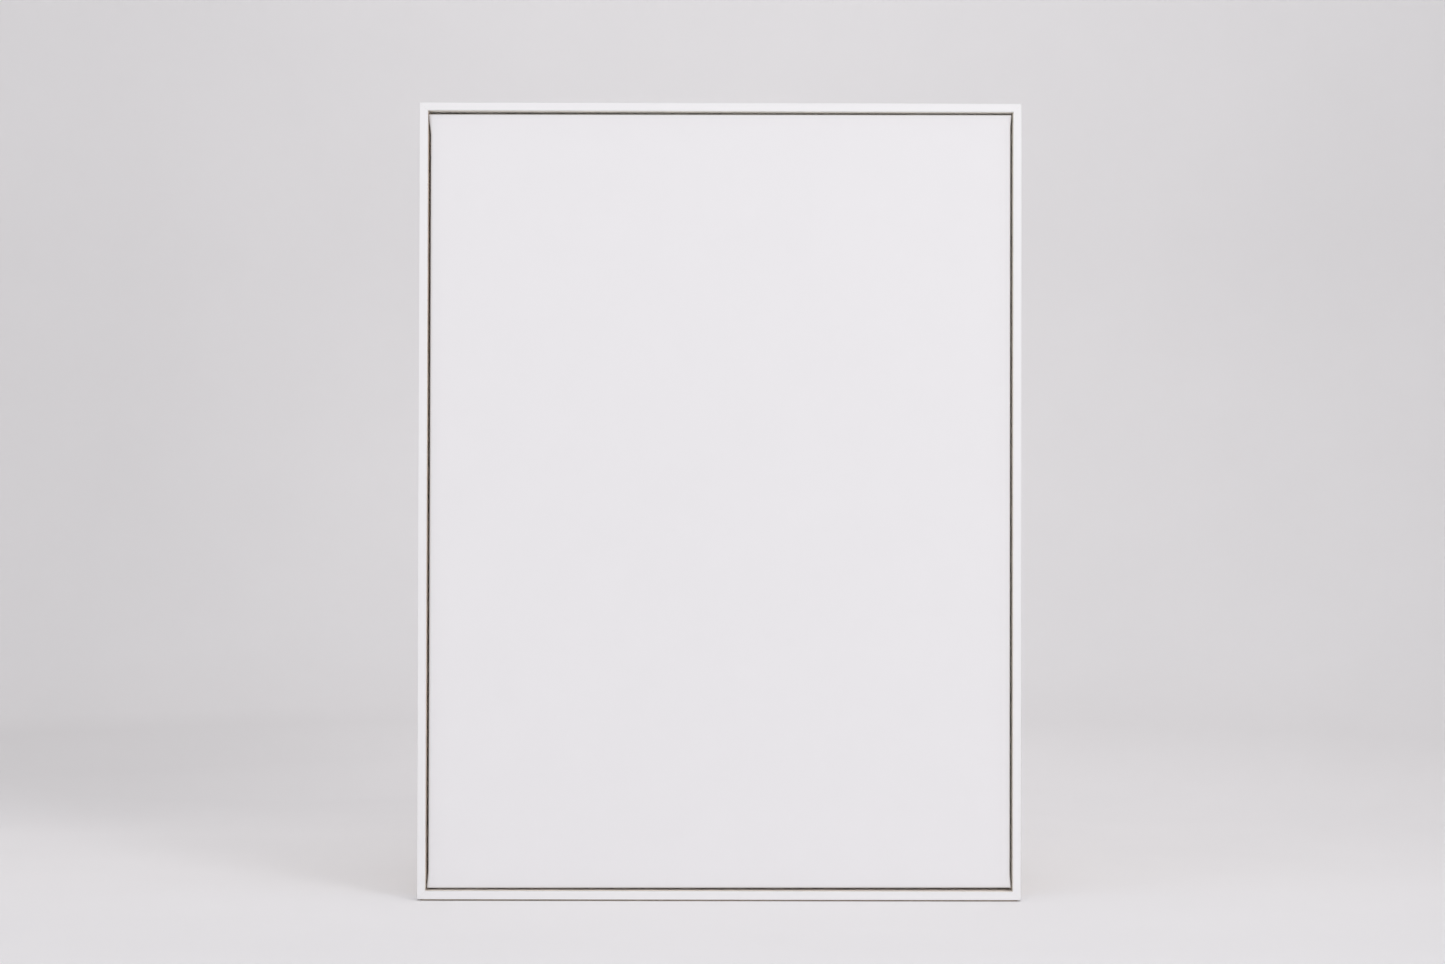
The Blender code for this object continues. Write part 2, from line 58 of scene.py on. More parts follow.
# Frame
FRAME_LOW = Vector((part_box("frame_left_rail")[0].x, *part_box("frame_bottom_rail")[0].yz))
FRAME_HIGH = Vector((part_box("frame_right_rail")[1].x, *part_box("frame_top_rail")[1].yz))
FRAME_SIZE = FRAME_HIGH - FRAME_LOW
MIDDLE_HEIGHT = (FRAME_LOW.z + FRAME_HIGH.z) / 2
FACE_WIDTH = 11.0 * MM
LEDGE_WIDTH = 30.0 * MM
LEDGE_THICKNESS = 9.0 * MM
ARRIS_RADIUS = 0.6 * MM
ARRIS_STEPS = 6
MITRE_HAIRLINE = 0.03 * MM

# Canvas, a little out of square as a hand-stretched one is
CLOTH_LOW, CLOTH_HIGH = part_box("canvas_cloth")
CANVAS_WIDTH = 762.6 * MM
CANVAS_HEIGHT = 1015.8 * MM
CANVAS_CORNER = 1.2 * MM
CLOTH_THICKNESS = 0.6 * MM
CLOTH_RADIUS = 2.4 * MM
CLOTH_RETURN = 34.0 * MM  # turned over the back of the bars
CLOTH_SKEW = 0.0018  # how much the right side stands higher, for each metre to the right
HEM_WAVE = 1.2 * MM
FRONT_WAVE = 0.12 * MM  # how far the front's border is out of flat
FOLD_THICKNESS = 1.2 * MM  # of a folded corner's two extra layers
EAR_FADE = 7.0 * MM  # depth in which an ear sinks to the thickness of the fold
# How far each folded corner stands out at the front, and how far it runs along its side
EARS = {
    "top_left": (3.1 * MM, 25.0 * MM),
    "top_right": (1.6 * MM, 14.0 * MM),
    "bottom_left": (1.9 * MM, 19.0 * MM),
    "bottom_right": (1.5 * MM, 15.0 * MM),
}

# Staples on the turned-over cloth
STAPLE_INSET = 30.3 * MM  # from the canvas's outer edge
STAPLE_SPACING = 56.0 * MM
STAPLE_WIDTH = 10.0 * MM
STAPLE_LEG = 6.0 * MM
STAPLE_WIRE = (1.1 * MM, 0.6 * MM)  # width and thickness
STAPLE_CORNER = 0.7 * MM

# Hardware
HEAD_RADIUS = 3.6 * MM
HEAD_HEIGHT = 2.2 * MM
HEAD_RIM = 0.7 * MM
HEAD_EASE = 0.12 * MM
SHANK_RADIUS = 1.6 * MM
SHANK_LENGTH = 4.0 * MM
SCREW_LENGTH = 6.5 * MM
POINT_RADIUS = 0.3 * MM
RECESS_LENGTH = 4.2 * MM
RECESS_WIDTH = 0.95 * MM
RECESS_DEPTH = 1.5 * MM
STRAP_WIDTH = 12.0 * MM
STRAP_SHEET = 1.2 * MM
STRAP_EASE = 0.25 * MM
STRAP_SEAM = 0.04 * MM  # between the two layers of the folded strip
STRAP_END = 0.6 * MM  # half the width that is left at the tip of the rounded end
STRAP_HOLE = 2.1 * MM
EYE_RADIUS = 1.9 * MM
RING_WIRE = 1.5 * MM
RING_WIDTH = 23.0 * MM
RING_DROP = 16.0 * MM
RING_CORNER = 3.2 * MM
RING_BOW_CORNER = 9.0 * MM
NAIL_WING = 6.0 * MM
NAIL_THICKNESS = 0.6 * MM
NAIL_PROUD = 0.06 * MM
NAIL_TIP = 0.3 * MM
BUMPER_ROUND = 1.2 * MM
BUMPER_TAPER = 1.0 * MM
FELT_CORNER = 3.0 * MM
FELT_ROUND = 0.5 * MM
TIMBER_EASE = 0.5 * MM
WELD = 0.01 * MM
ROUND_SIDES = 40

# Colours
LACQUER_TONE = (0.845, 0.845, 0.85, 1)
LACQUER_SHADE = (0.838, 0.838, 0.843, 1)
LACQUER_WORN = (0.78, 0.75, 0.7, 1)
PINE_EARLY = (0.74, 0.55, 0.34, 1)
PINE_LATE = (0.52, 0.31, 0.14, 1)
BARE_EARLY = (0.72, 0.58, 0.41, 1)
BARE_LATE = (0.58, 0.43, 0.27, 1)
BEECH_EARLY = (0.68, 0.47, 0.29, 1)
BEECH_LATE = (0.55, 0.34, 0.19, 1)
TIMBER_CLEAN = (1, 1, 1, 1)
TIMBER_SOILED = (0.9, 0.87, 0.84, 1)
TIMBER_RUBBED = (0.86, 0.74, 0.56, 1)
PRIMED_TONE = (0.826, 0.821, 0.831, 1)
PRIMED_SHADE = (0.819, 0.814, 0.824, 1)
# Painted shade in the weave's hollows of the primed face
PRIMED_HOLLOW_SHADE = (0.79, 0.78, 0.785, 1)
RAW_TONE = (0.74, 0.68, 0.57, 1)
RAW_SHADE = (0.69, 0.62, 0.5, 1)
# Painted shade in the weave's hollows of the raw back
RAW_HOLLOW_SHADE = (0.5, 0.43, 0.32, 1)
SEED_TONE = (0.2, 0.14, 0.08, 1)  # flecks of seed husk in the raw cloth
FELT_TONE = (0.52, 0.43, 0.35, 1)
FELT_SHADE = (0.44, 0.36, 0.29, 1)
FELT_FIBRE = (0.62, 0.53, 0.44, 1)
ZINC_TONE = (0.66, 0.66, 0.63, 1)
ZINC_DULL = (0.52, 0.52, 0.5, 1)
NICKEL_TONE = (0.74, 0.72, 0.69, 1)
NICKEL_DULL = (0.66, 0.64, 0.61, 1)
RUBBER_TONE = (0.05, 0.05, 0.052, 1)
RUBBER_SHADE = (0.075, 0.073, 0.07, 1)
RUBBER_DUST = (0.18, 0.17, 0.16, 1)
# For each rail: a darker tone near the gap's arris, painted shade, and the timber's two lighter tones deeper
# in, painted light; lightest in the top gap, darkest in the left
GAP_LIGHT_AND_SHADE_TONES = {
    "top": ((0.8, 0.79, 0.74, 1), (0.98, 0.94, 0.86, 1), (0.96, 0.91, 0.82, 1)),
    "right": ((0.66, 0.65, 0.57, 1), (0.97, 0.91, 0.81, 1), (0.95, 0.88, 0.76, 1)),
    "bottom": ((0.62, 0.61, 0.55, 1), (0.97, 0.89, 0.82, 1), (0.95, 0.86, 0.77, 1)),
    "left": ((0.4, 0.39, 0.35, 1), (0.88, 0.75, 0.63, 1), (0.84, 0.7, 0.57, 1)),
}

# Scale of the finishes
GRAIN_LINE = {"top": "X", "bottom": "X", "left": "Z", "right": "Z"}
PINE_RING = 4.2 * MM
BRACE_RING = 3.8 * MM
BARE_RING = 3.5 * MM
BEECH_RING = 1.8 * MM
GAP_RING = 4.0 * MM
THREAD_PITCH = 1.15 * MM
THREAD_SLUB = 0.22
LIP_SHADE_REACH = 9.0 * MM  # depth in which the painted shade near the arris gives way to the lighter timber tones, painted light
PEEL_SCALE = 620.0
FIBRE_SCALE = 1500.0
SEED_SCALE = 420.0
PAPER_CLOUD = 0.35

chance = random.Random(7)


# Node helpers


def put(tree, kind, sockets=None, **settings):
    """Adds a node, and fills its inputs with values or with the outputs of other nodes."""
    node = tree.nodes.new("ShaderNode" + kind)
    for name, value in settings.items():
        setattr(node, name, value)
    for socket, value in (sockets or {}).items():
        if isinstance(value, bpy.types.NodeSocket):
            tree.links.new(value, node.inputs[socket])
        else:
            node.inputs[socket].default_value = value
    return node


def reckon(tree, operation, *values):
    return put(tree, "Math", dict(enumerate(values)), operation=operation).outputs[0]


def ramp(tree, value, low, high, start=0.0, end=1.0):
    """The value's place between low and high, as a number from start to end."""
    sockets = {"Value": value, "From Min": low, "From Max": high, "To Min": start, "To Max": end}
    return put(tree, "MapRange", sockets).outputs["Result"]


def speckle(tree, place, scale, detail):
    """Smooth random values over a surface, about 0.5 on the whole."""
    sockets = {"Vector": place, "Scale": scale, "Detail": detail}
    return put(tree, "TexNoise", sockets).outputs["Fac"]


def blended(tree, factor, first, second):
    mix = put(tree, "Mix", {0: factor, 6: first, 7: second}, data_type="RGBA")
    return mix.outputs[2]


def scaled(tree, vector, scale):
    sockets = {0: vector, 1: scale}
    return put(tree, "VectorMath", sockets, operation="MULTIPLY").outputs[0]


def new_group(name, inputs, outputs):
    """A shader node group. Its sockets are named with their kind and, for inputs, a first value."""
    group = bpy.data.node_groups.new(name, "ShaderNodeTree")
    for socket, (kind, value) in inputs.items():
        made = group.interface.new_socket(socket, in_out="INPUT", socket_type="NodeSocket" + kind)
        if value is not None:
            made.default_value = value
    for socket, kind in outputs.items():
        group.interface.new_socket(socket, in_out="OUTPUT", socket_type="NodeSocket" + kind)
    given = group.nodes.new("NodeGroupInput").outputs
    wanted = group.nodes.new("NodeGroupOutput").inputs
    return group, given, wanted


def use_group(tree, group, **sockets):
    node = tree.nodes.new("ShaderNodeGroup")
    node.node_tree = group
    for name, value in sockets.items():
        socket = name.replace("_", " ").title()
        if isinstance(value, bpy.types.NodeSocket):
            tree.links.new(value, node.inputs[socket])
        else:
            node.inputs[socket].default_value = value
    return node.outputs


# Effects that several materials share


def make_mottle():
    """Soft clouds of two tones, each cloud about one size across."""
    group, given, wanted = new_group(
        "soft_mottle",
        {
            "Place": ("Vector", None),
            "Size": ("Float", 0.05),
            "First": ("Color", (1, 1, 1, 1)),
            "Second": ("Color", (0.9, 0.9, 0.9, 1)),
        },
        {"Colour": "Color", "Mask": "Float"},
    )
    size = put(group, "CombineXYZ", {axis: given["Size"] for axis in "XYZ"})
    spread = put(group, "VectorMath", {0: given["Place"], 1: size.outputs[0]}, operation="DIVIDE")
    mask = ramp(group, speckle(group, spread.outputs[0], 1.0, 3.0), 0.32, 0.68)
    group.links.new(blended(group, mask, given["First"], given["Second"]), wanted["Colour"])
    group.links.new(mask, wanted["Mask"])
    return group


def make_weave():
    """Plain weave of threads in two directions, with uneven threads."""
    group, given, wanted = new_group(
        "thread_weave",
        {"Place": ("Vector", None), "Pitch": ("Float", 0.001), "Slub": ("Float", 0.3)},
        {"Height": "Float", "Hollow Shade": "Float"},
    )
    slubs = speckle(group, given["Place"], 260.0, 2.0)
    drift = reckon(group, "MULTIPLY", ramp(group, slubs, 0, 1, -1, 1), given["Slub"])
    axes = put(group, "SeparateXYZ", {"Vector": given["Place"]})
    threads = []
    for axis in ("X", "Y"):
        steps = reckon(group, "DIVIDE", axes.outputs[axis], given["Pitch"])
        threads.append(reckon(group, "ADD", steps, drift))
    rounds = []
    for thread in threads:
        rise = reckon(group, "MULTIPLY", reckon(group, "PINGPONG", thread, 0.5), 2.0)
        rounds.append(reckon(group, "SQRT", rise))
    cell = put(group, "CombineXYZ", {"X": threads[0], "Y": threads[1], "Z": 0.5})
    over = put(group, "TexChecker", {"Vector": cell.outputs[0], "Scale": 1.0}).outputs["Fac"]
    under = reckon(group, "SUBTRACT", 1.0, over)
    warp = reckon(group, "MULTIPLY", rounds[0], ramp(group, over, 0, 1, 0.55, 1))
    weft = reckon(group, "MULTIPLY", rounds[1], ramp(group, under, 0, 1, 0.55, 1))
    height = reckon(group, "MAXIMUM", warp, weft)
    group.links.new(height, wanted["Height"])
    # Mask for painted shade in the weave's hollows
    group.links.new(ramp(group, height, 0.75, 0.35), wanted["Hollow Shade"])
    return group


def make_grain():
    """Year rings round a pith that runs along X, and fine fibres along the same line."""
    group, given, wanted = new_group(
        "timber_grain",
        {
            "Place": ("Vector", None),
            "Ring Width": ("Float", 0.004),
            "Early": ("Color", (0.7, 0.5, 0.3, 1)),
            "Late": ("Color", (0.5, 0.3, 0.15, 1)),
        },
        {"Colour": "Color", "Height": "Float"},
    )
    place = given["Place"]
    waves = speckle(group, scaled(group, place, (2.2, 14, 14)), 1.0, 2.0)
    axes = put(group, "SeparateXYZ", {"Vector": place})
    across = put(group, "CombineXYZ", {"Y": axes.outputs["Y"], "Z": axes.outputs["Z"]})
    reach = put(group, "VectorMath", {0: across.outputs[0]}, operation="LENGTH").outputs["Value"]
    years = reckon(group, "DIVIDE", reach, given["Ring Width"])
    years = reckon(group, "ADD", years, ramp(group, waves, 0, 1, -2.5, 2.5))
    season = reckon(group, "FRACT", years)
    late = reckon(group, "POWER", season, 2.6)
    fibres = speckle(group, scaled(group, place, (22, 900, 900)), 1.0, 2.0)
    fine = ramp(group, fibres, 0.3, 0.7, -0.16, 0.16)
    tone = reckon(group, "ADD", reckon(group, "MULTIPLY", late, 0.72), fine)
    tone.node.use_clamp = True
    group.links.new(blended(group, tone, given["Early"], given["Late"]), wanted["Colour"])
    group.links.new(reckon(group, "SUBTRACT", fibres, tone), wanted["Height"])
    return group


def make_edge_rub():
    """A mask of the arrises, where hands and tools rub a surface."""
    group, given, wanted = new_group(
        "edge_rub", {"Width": ("Float", 0.001)}, {"Edge": "Float"}
    )
    eased = put(group, "Bevel", {"Radius": given["Width"]}, samples=4).outputs["Normal"]
    true = put(group, "NewGeometry").outputs["Normal"]
    agree = put(group, "VectorMath", {0: eased, 1: true}, operation="DOT_PRODUCT").outputs["Value"]
    group.links.new(ramp(group, agree, 0.985, 0.8), wanted["Edge"])
    return group


def make_scratches():
    """Fine straight marks that run about along X."""
    group, given, wanted = new_group(
        "hair_scratches", {"Place": ("Vector", None), "Size": ("Float", 0.01)}, {"Mask": "Float"}
    )
    size = put(group, "CombineXYZ", {axis: given["Size"] for axis in "XYZ"})
    steps = put(group, "VectorMath", {0: given["Place"], 1: size.outputs[0]}, operation="DIVIDE")
    lines = speckle(group, scaled(group, steps.outputs[0], (1, 26, 26)), 1.0, 4.0)
    group.links.new(ramp(group, lines, 0.52, 0.72), wanted["Mask"])
    return group


mottle = make_mottle()
weave = make_weave()
grain = make_grain()
edge_rub = make_edge_rub()
scratches = make_scratches()


# Materials


def new_material(name, **constants):
    """A material, its tree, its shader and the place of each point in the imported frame."""
    material = bpy.data.materials.new(name)
    material.use_nodes = True
    tree = material.node_tree
    shader = tree.nodes["Principled BSDF"]
    for socket, value in constants.items():
        shader.inputs[socket.replace("_", " ")].default_value = value
    place = put(tree, "TexCoord").outputs["Object"]
    return material, tree, shader, place


def emboss(tree, shader, height, strength, depth):
    bump = put(tree, "Bump", {"Height": height, "Strength": strength, "Distance": depth})
    tree.links.new(bump.outputs["Normal"], shader.inputs["Normal"])


def peel_of(tree, place):
    """The slight orange peel of sprayed paint."""
    return speckle(tree, place, PEEL_SCALE, 1.0)


def make_lacquer():
    material, tree, shader, place = new_material("white_lacquer")
    tone = use_group(tree, mottle, place=place, size=0.09, first=LACQUER_TONE, second=LACQUER_SHADE)
    edge = use_group(tree, edge_rub, width=0.8 * MM)["Edge"]
    worn = reckon(tree, "MULTIPLY", edge, ramp(tree, tone["Mask"], 0, 1, 0.02, 0.12))
    colour = blended(tree, worn, tone["Colour"], LACQUER_WORN)
    tree.links.new(colour, shader.inputs["Base Color"])
    scuffs = use_group(tree, scratches, place=place, size=0.03)["Mask"]
    roughness = ramp(tree, tone["Mask"], 0, 1, 0.36, 0.42)
    roughness = reckon(tree, "ADD", roughness, ramp(tree, scuffs, 0, 1, 0, 0.06))
    tree.links.new(roughness, shader.inputs["Roughness"])
    emboss(tree, shader, peel_of(tree, place), 0.12, 0.1 * MM)
    return material


def grain_place(tree, place, along, pith):
    """The place in a stick of timber, with X along the stick and the pith at a point off it."""
    turn = (0, math.radians(90), 0) if along == "Z" else (0, 0, 0)
    turned = put(tree, "Mapping", {"Vector": place, "Rotation": turn})
    shift = put(tree, "VectorMath", {0: turned.outputs[0], 1: pith}, operation="SUBTRACT")
    return shift.outputs[0]


def make_timber(name, along, pith, early, late, ring, roughness=0.62):
    material, tree, shader, place = new_material(name)
    stick = grain_place(tree, place, along, pith)
    wood = use_group(tree, grain, place=stick, ring_width=ring, early=early, late=late)
    shade = use_group(tree, mottle, place=place, size=0.12, first=TIMBER_CLEAN, second=TIMBER_SOILED)
    layers = {0: 1.0, 6: wood["Colour"], 7: shade["Colour"]}
    toned = put(tree, "Mix", layers, data_type="RGBA", blend_type="MULTIPLY").outputs[2]
    edge = use_group(tree, edge_rub, width=0.9 * MM)["Edge"]
    colour = blended(tree, reckon(tree, "MULTIPLY", edge, 0.25), toned, TIMBER_RUBBED)
    tree.links.new(colour, shader.inputs["Base Color"])
    tree.links.new(ramp(tree, wood["Height"], 0, 1, roughness, roughness + 0.14), shader.inputs["Roughness"])
    emboss(tree, shader, wood["Height"], 0.35, 0.15 * MM)
    return material


def make_gap_light_and_shade(side):
    """Inside the gap, colour stands in for light and shade: a darker tone near the arris, painted shade,
    gives way deeper in to warm timber with grain in lighter tones, painted light; each rail has its own
    tones.
    """
    along = GRAIN_LINE[side]
    material, tree, shader, place = new_material(
        f"gap_light_and_shade_{side}", Specular_IOR_Level=0.0, Diffuse_Roughness=1.0, Roughness=0.9
    )
    stick = grain_place(tree, place, along, (0, 0.06, 0.02))
    lip_shade, early, late = GAP_LIGHT_AND_SHADE_TONES[side]
    wood = use_group(tree, grain, place=stick, ring_width=GAP_RING, early=early, late=late)
    patches = use_group(tree, mottle, place=place, size=0.03)["Mask"]
    depth = put(tree, "SeparateXYZ", {"Vector": place}).outputs["Y"]
    # Painted shade near the arris, giving way to the lighter timber tones deeper in, painted light
    lip_shade_share = ramp(tree, depth, FRAME_LOW.y + ARRIS_RADIUS, FRAME_LOW.y + LIP_SHADE_REACH, 1.0, 0.0)
    lip_shade_share = reckon(tree, "ADD", lip_shade_share, ramp(tree, patches, 0, 1, -0.1, 0.08))
    lip_shade_share.node.use_clamp = True
    tree.links.new(blended(tree, lip_shade_share, wood["Colour"], lip_shade), shader.inputs["Base Color"])
    emboss(tree, shader, wood["Height"], 0.2, 0.12 * MM)
    return material


def make_felt():
    """Pressed felt: short fibres that lie every way."""
    material, tree, shader, place = new_material("pressed_felt", Roughness=0.95, Specular_IOR_Level=0.1)
    tone = use_group(tree, mottle, place=place, size=3 * MM, first=FELT_TONE, second=FELT_SHADE)
    fibres = speckle(tree, place, FIBRE_SCALE, 3.0)
    colour = blended(tree, ramp(tree, fibres, 0.35, 0.7, 0, 0.5), tone["Colour"], FELT_FIBRE)
    tree.links.new(colour, shader.inputs["Base Color"])
    emboss(tree, shader, fibres, 0.5, 0.2 * MM)
    return material


def make_cloth_side(name, first, second, hollow_shade, strength, flecked):
    """One side of the canvas: threads, painted shade in their hollows and a slow change of tone."""
    material, tree, shader, place = new_material(name)
    cut = put(tree, "UVMap", uv_map="cut").outputs["UV"]
    threads = use_group(tree, weave, place=cut, pitch=THREAD_PITCH, slub=THREAD_SLUB)
    tone = use_group(tree, mottle, place=place, size=0.07, first=first, second=second)
    # Darker in the thread hollows: painted shade
    colour = blended(tree, reckon(tree, "MULTIPLY", threads["Hollow Shade"], 0.5), tone["Colour"], hollow_shade)
    if flecked:
        seeds = speckle(tree, cut, SEED_SCALE, 1.0)
        colour = blended(tree, ramp(tree, seeds, 0.74, 0.8, 0, 0.7), colour, SEED_TONE)
    tree.links.new(colour, shader.inputs["Base Color"])
    tree.links.new(ramp(tree, threads["Height"], 0, 1, 0.9, 0.78), shader.inputs["Roughness"])
    emboss(tree, shader, threads["Height"], strength, 0.12 * MM)
    return material


def make_metal(name, colour, dull, roughness, size):
    material, tree, shader, place = new_material(name, Metallic=1.0)
    tone = use_group(tree, mottle, place=place, size=size, first=colour, second=dull)
    lines = use_group(tree, scratches, place=place, size=size)["Mask"]
    edge = use_group(tree, edge_rub, width=0.3 * MM)["Edge"]
    bright = tuple(min(1.0, 1.12 * c) for c in colour[:3]) + (1,)
    rubbed = blended(tree, reckon(tree, "MULTIPLY", edge, 0.6), tone["Colour"], bright)
    tree.links.new(rubbed, shader.inputs["Base Color"])
    worn = ramp(tree, tone["Mask"], 0, 1, roughness, roughness + 0.1)
    worn = reckon(tree, "ADD", worn, ramp(tree, lines, 0, 1, 0, 0.08))
    tree.links.new(worn, shader.inputs["Roughness"])
    emboss(tree, shader, lines, 0.15, 0.02 * MM)
    return material


def make_rubber():
    material, tree, shader, place = new_material("bumper_rubber_skin")
    tone = use_group(tree, mottle, place=place, size=2 * MM, first=RUBBER_TONE, second=RUBBER_SHADE)
    dust = use_group(tree, edge_rub, width=0.8 * MM)["Edge"]
    colour = blended(tree, reckon(tree, "MULTIPLY", dust, 0.4), tone["Colour"], RUBBER_DUST)
    tree.links.new(colour, shader.inputs["Base Color"])
    tree.links.new(ramp(tree, tone["Mask"], 0, 1, 0.62, 0.75), shader.inputs["Roughness"])
    emboss(tree, shader, tone["Mask"], 0.2, 0.05 * MM)
    return material


def make_studio_paper(name, open_to_light):
    """Pale studio paper with painted light and shade: a lighter pool of painted light on the far floor,
    its own tone on the near floor, painted shade at the wall's foot, its own tone on the wall, and
    painted shade to both sides of the wall, a painted shadow in the floor's far left corner and
    painted shade to its right. Seen from outside, the paper is clear. Where it is open to light, only
    the camera sees it, so that lights can stand behind it."""
    material, tree, shader, place = new_material(name)
    axes = put(tree, "SeparateXYZ", {"Vector": place}).outputs
    lit_pool, floor, shaded_foot, wall = (
        use_group(tree, mottle, place=place, size=PAPER_CLOUD, first=tone, second=shade)["Colour"]
        for tone, shade in PAPER_LIGHT_AND_SHADE_TONES
    )
    # A lighter pool of painted light on the far floor
    colour = blended(tree, ramp(tree, axes["Y"], *LIT_POOL_EDGE), floor, lit_pool)
    rise = ramp(tree, axes["Z"], *FOOT_EDGE)
    # Painted shade at the wall's foot
    colour = blended(tree, rise, colour, shaded_foot)
    colour = blended(tree, ramp(tree, axes["Z"], *WALL_EDGE), colour, wall)
    # Painted shade to both sides of the wall
    off = reckon(tree, "SUBTRACT", axes["X"], PAPER_MIDDLE)
    spread = reckon(tree, "ABSOLUTE", reckon(tree, "DIVIDE", off, PAPER_SPREAD))
    aside = ramp(tree, reckon(tree, "POWER", spread, 2.0), 0, 1, 0, SIDE_SHADE)
    aside = reckon(tree, "MULTIPLY", rise, aside)
    # Painted shadow in the floor's far left corner
    corner = ramp(tree, axes["Y"], *FAR_EDGE)
    corner = reckon(tree, "MULTIPLY", corner, ramp(tree, axes["X"], *LEFT_EDGE))
    corner = reckon(tree, "MULTIPLY", corner, ramp(tree, axes["Z"], *LOW_EDGE, 0, CORNER_SHADOW))
    # Painted shade on the floor to the right
    right = ramp(tree, axes["X"], *RIGHT_EDGE, 0, RIGHT_SHADE)
    right = reckon(tree, "MULTIPLY", right, reckon(tree, "SUBTRACT", 1.0, rise))
    painted_shade = reckon(tree, "ADD", aside, reckon(tree, "ADD", corner, right))
    tree.links.new(blended(tree, painted_shade, colour, (0, 0, 0, 1)), shader.inputs["Base Color"])
    marks = use_group(tree, scratches, place=place, size=0.2)["Mask"]
    tree.links.new(ramp(tree, marks, 0, 1, 0.7, 0.8), shader.inputs["Roughness"])
    hidden = put(tree, "NewGeometry").outputs["Backfacing"]
    if open_to_light:
        unseen = reckon(tree, "SUBTRACT", 1.0, put(tree, "LightPath").outputs["Is Camera Ray"])
        hidden = reckon(tree, "MAXIMUM", hidden, unseen)
    clear = put(tree, "BsdfTransparent").outputs[0]
    seen = put(tree, "MixShader", {0: hidden, 1: shader.outputs[0], 2: clear})
    output = next(node for node in tree.nodes if node.type == "OUTPUT_MATERIAL")
    tree.links.new(seen.outputs[0], output.inputs["Surface"])
    return material


white_lacquer = make_lacquer()
# For each rail, painted shade near the gap's arris and painted light deeper in
gap_light_and_shade = {side: make_gap_light_and_shade(side) for side in SIDES}
felt = make_felt()
primed_face = make_cloth_side("primed_face", PRIMED_TONE, PRIMED_SHADE, PRIMED_HOLLOW_SHADE, 0.16, False)
raw_back = make_cloth_side("raw_back", RAW_TONE, RAW_SHADE, RAW_HOLLOW_SHADE, 0.6, True)
key_beech = {
    line: make_timber(
        f"key_beech_{line.lower()}", line, (0, 0.09, 0.03), BEECH_EARLY, BEECH_LATE, BEECH_RING
    )
    for line in ("X", "Z")
}
zinc = make_metal("zinc_plate", ZINC_TONE, ZINC_DULL, 0.3, 4 * MM)
nickel = make_metal("nickel_plate", NICKEL_TONE, NICKEL_DULL, 0.2, 6 * MM)
rubber = make_rubber()


# Mesh helpers


def turned_to(side, points):
    """The (x, z) points drawn for the top side, turned to another side round the frame's middle."""
    c = math.cos(math.radians(SIDES[side]))
    s = math.sin(math.radians(SIDES[side]))
    return [(x * c + z * s, MIDDLE_HEIGHT + z * c - x * s) for x, z in points]


def across(side, width, height):
    """A side's length and its distance from the middle, in a rectangle of this width and height."""
    if side in ("top", "bottom"):
        return width, height / 2
    return height, width / 2


def middle_of(node):
    low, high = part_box(node)
    return (low + high) / 2


def circle(radius, count):
    steps = [2 * math.pi * k / count for k in range(count)]
    return [(radius * math.cos(a), radius * math.sin(a)) for a in steps]


def arc(centre, radius, start, end, steps):
    angles = [math.radians(start + (end - start) * k / steps) for k in range(steps + 1)]
    return [(centre[0] + radius * math.cos(a), centre[1] + radius * math.sin(a)) for a in angles]


def rounded(corners, steps):
    """The outline through (x, y, radius) corners, as one list of points for each corner."""
    outline = []
    for i, (x, y, radius) in enumerate(corners):
        here = Vector((x, y))
        if radius == 0:
            outline.append([here])
            continue
        before = (Vector(corners[i - 1][:2]) - here).normalized()
        after = (Vector(corners[(i + 1) % len(corners)][:2]) - here).normalized()
        half = before.angle(after) / 2
        centre = here + (before + after).normalized() * radius / math.sin(half)
        start = here + before * radius / math.tan(half) - centre
        end = here + after * radius / math.tan(half) - centre
        turn = start.angle_signed(end)
        points = []
        for k in range(steps + 1):
            a = -turn * k / steps
            points.append(centre + Matrix.Rotation(a, 2) @ start)
        outline.append(points)
    return outline


def add_loft(bm, loops, capped=True, joined=False, smooth=True):
    """Adds a skin through equal closed loops of points, its ends capped or joined to each other."""
    rings = [[bm.verts.new(point) for point in loop] for loop in loops]
    count = len(rings[0])
    pairs = list(zip(rings, rings[1:]))
    if joined:
        pairs.append((rings[-1], rings[0]))
    made = []
    for near, far in pairs:
        for i in range(count):
            j = (i + 1) % count
            made.append(bm.faces.new((near[i], near[j], far[j], far[i])))
    for face in made:
        face.smooth = smooth
    if capped and not joined:
        made.append(bm.faces.new(list(reversed(rings[0]))))
        made.append(bm.faces.new(rings[-1]))
    bmesh.ops.recalc_face_normals(bm, faces=made)
    return made


def add_turned(bm, profile, sides=ROUND_SIDES):
    """Adds a solid turned about the Y axis, from (radius, depth) points."""
    return add_loft(bm, [[(x, y, z) for x, z in circle(radius, sides)] for radius, y in profile])


def add_wire(bm, path, width, thickness, up, sides, joined=False):
    """Adds a wire of oval section along a path. Its thickness lies along up."""
    loops = []
    count = len(path)
    for i, point in enumerate(path):
        if joined:
            ahead = (path[(i + 1) % count] - path[i - 1]).normalized()
        else:
            ahead = (path[min(i + 1, count - 1)] - path[max(i - 1, 0)]).normalized()
        aside = ahead.cross(up).normalized()
        above = aside.cross(ahead)
        loop = []
        for u, v in circle(1, sides):
            loop.append(point + aside * (width / 2 * u) + above * (thickness / 2 * v))
        loops.append(loop)
    return add_loft(bm, loops, joined=joined)


def to_mesh(name, bm, materials):
    mesh = bpy.data.meshes.new(name)
    bm.to_mesh(mesh)
    bm.free()
    for material in materials:
        mesh.materials.append(material)
    return mesh


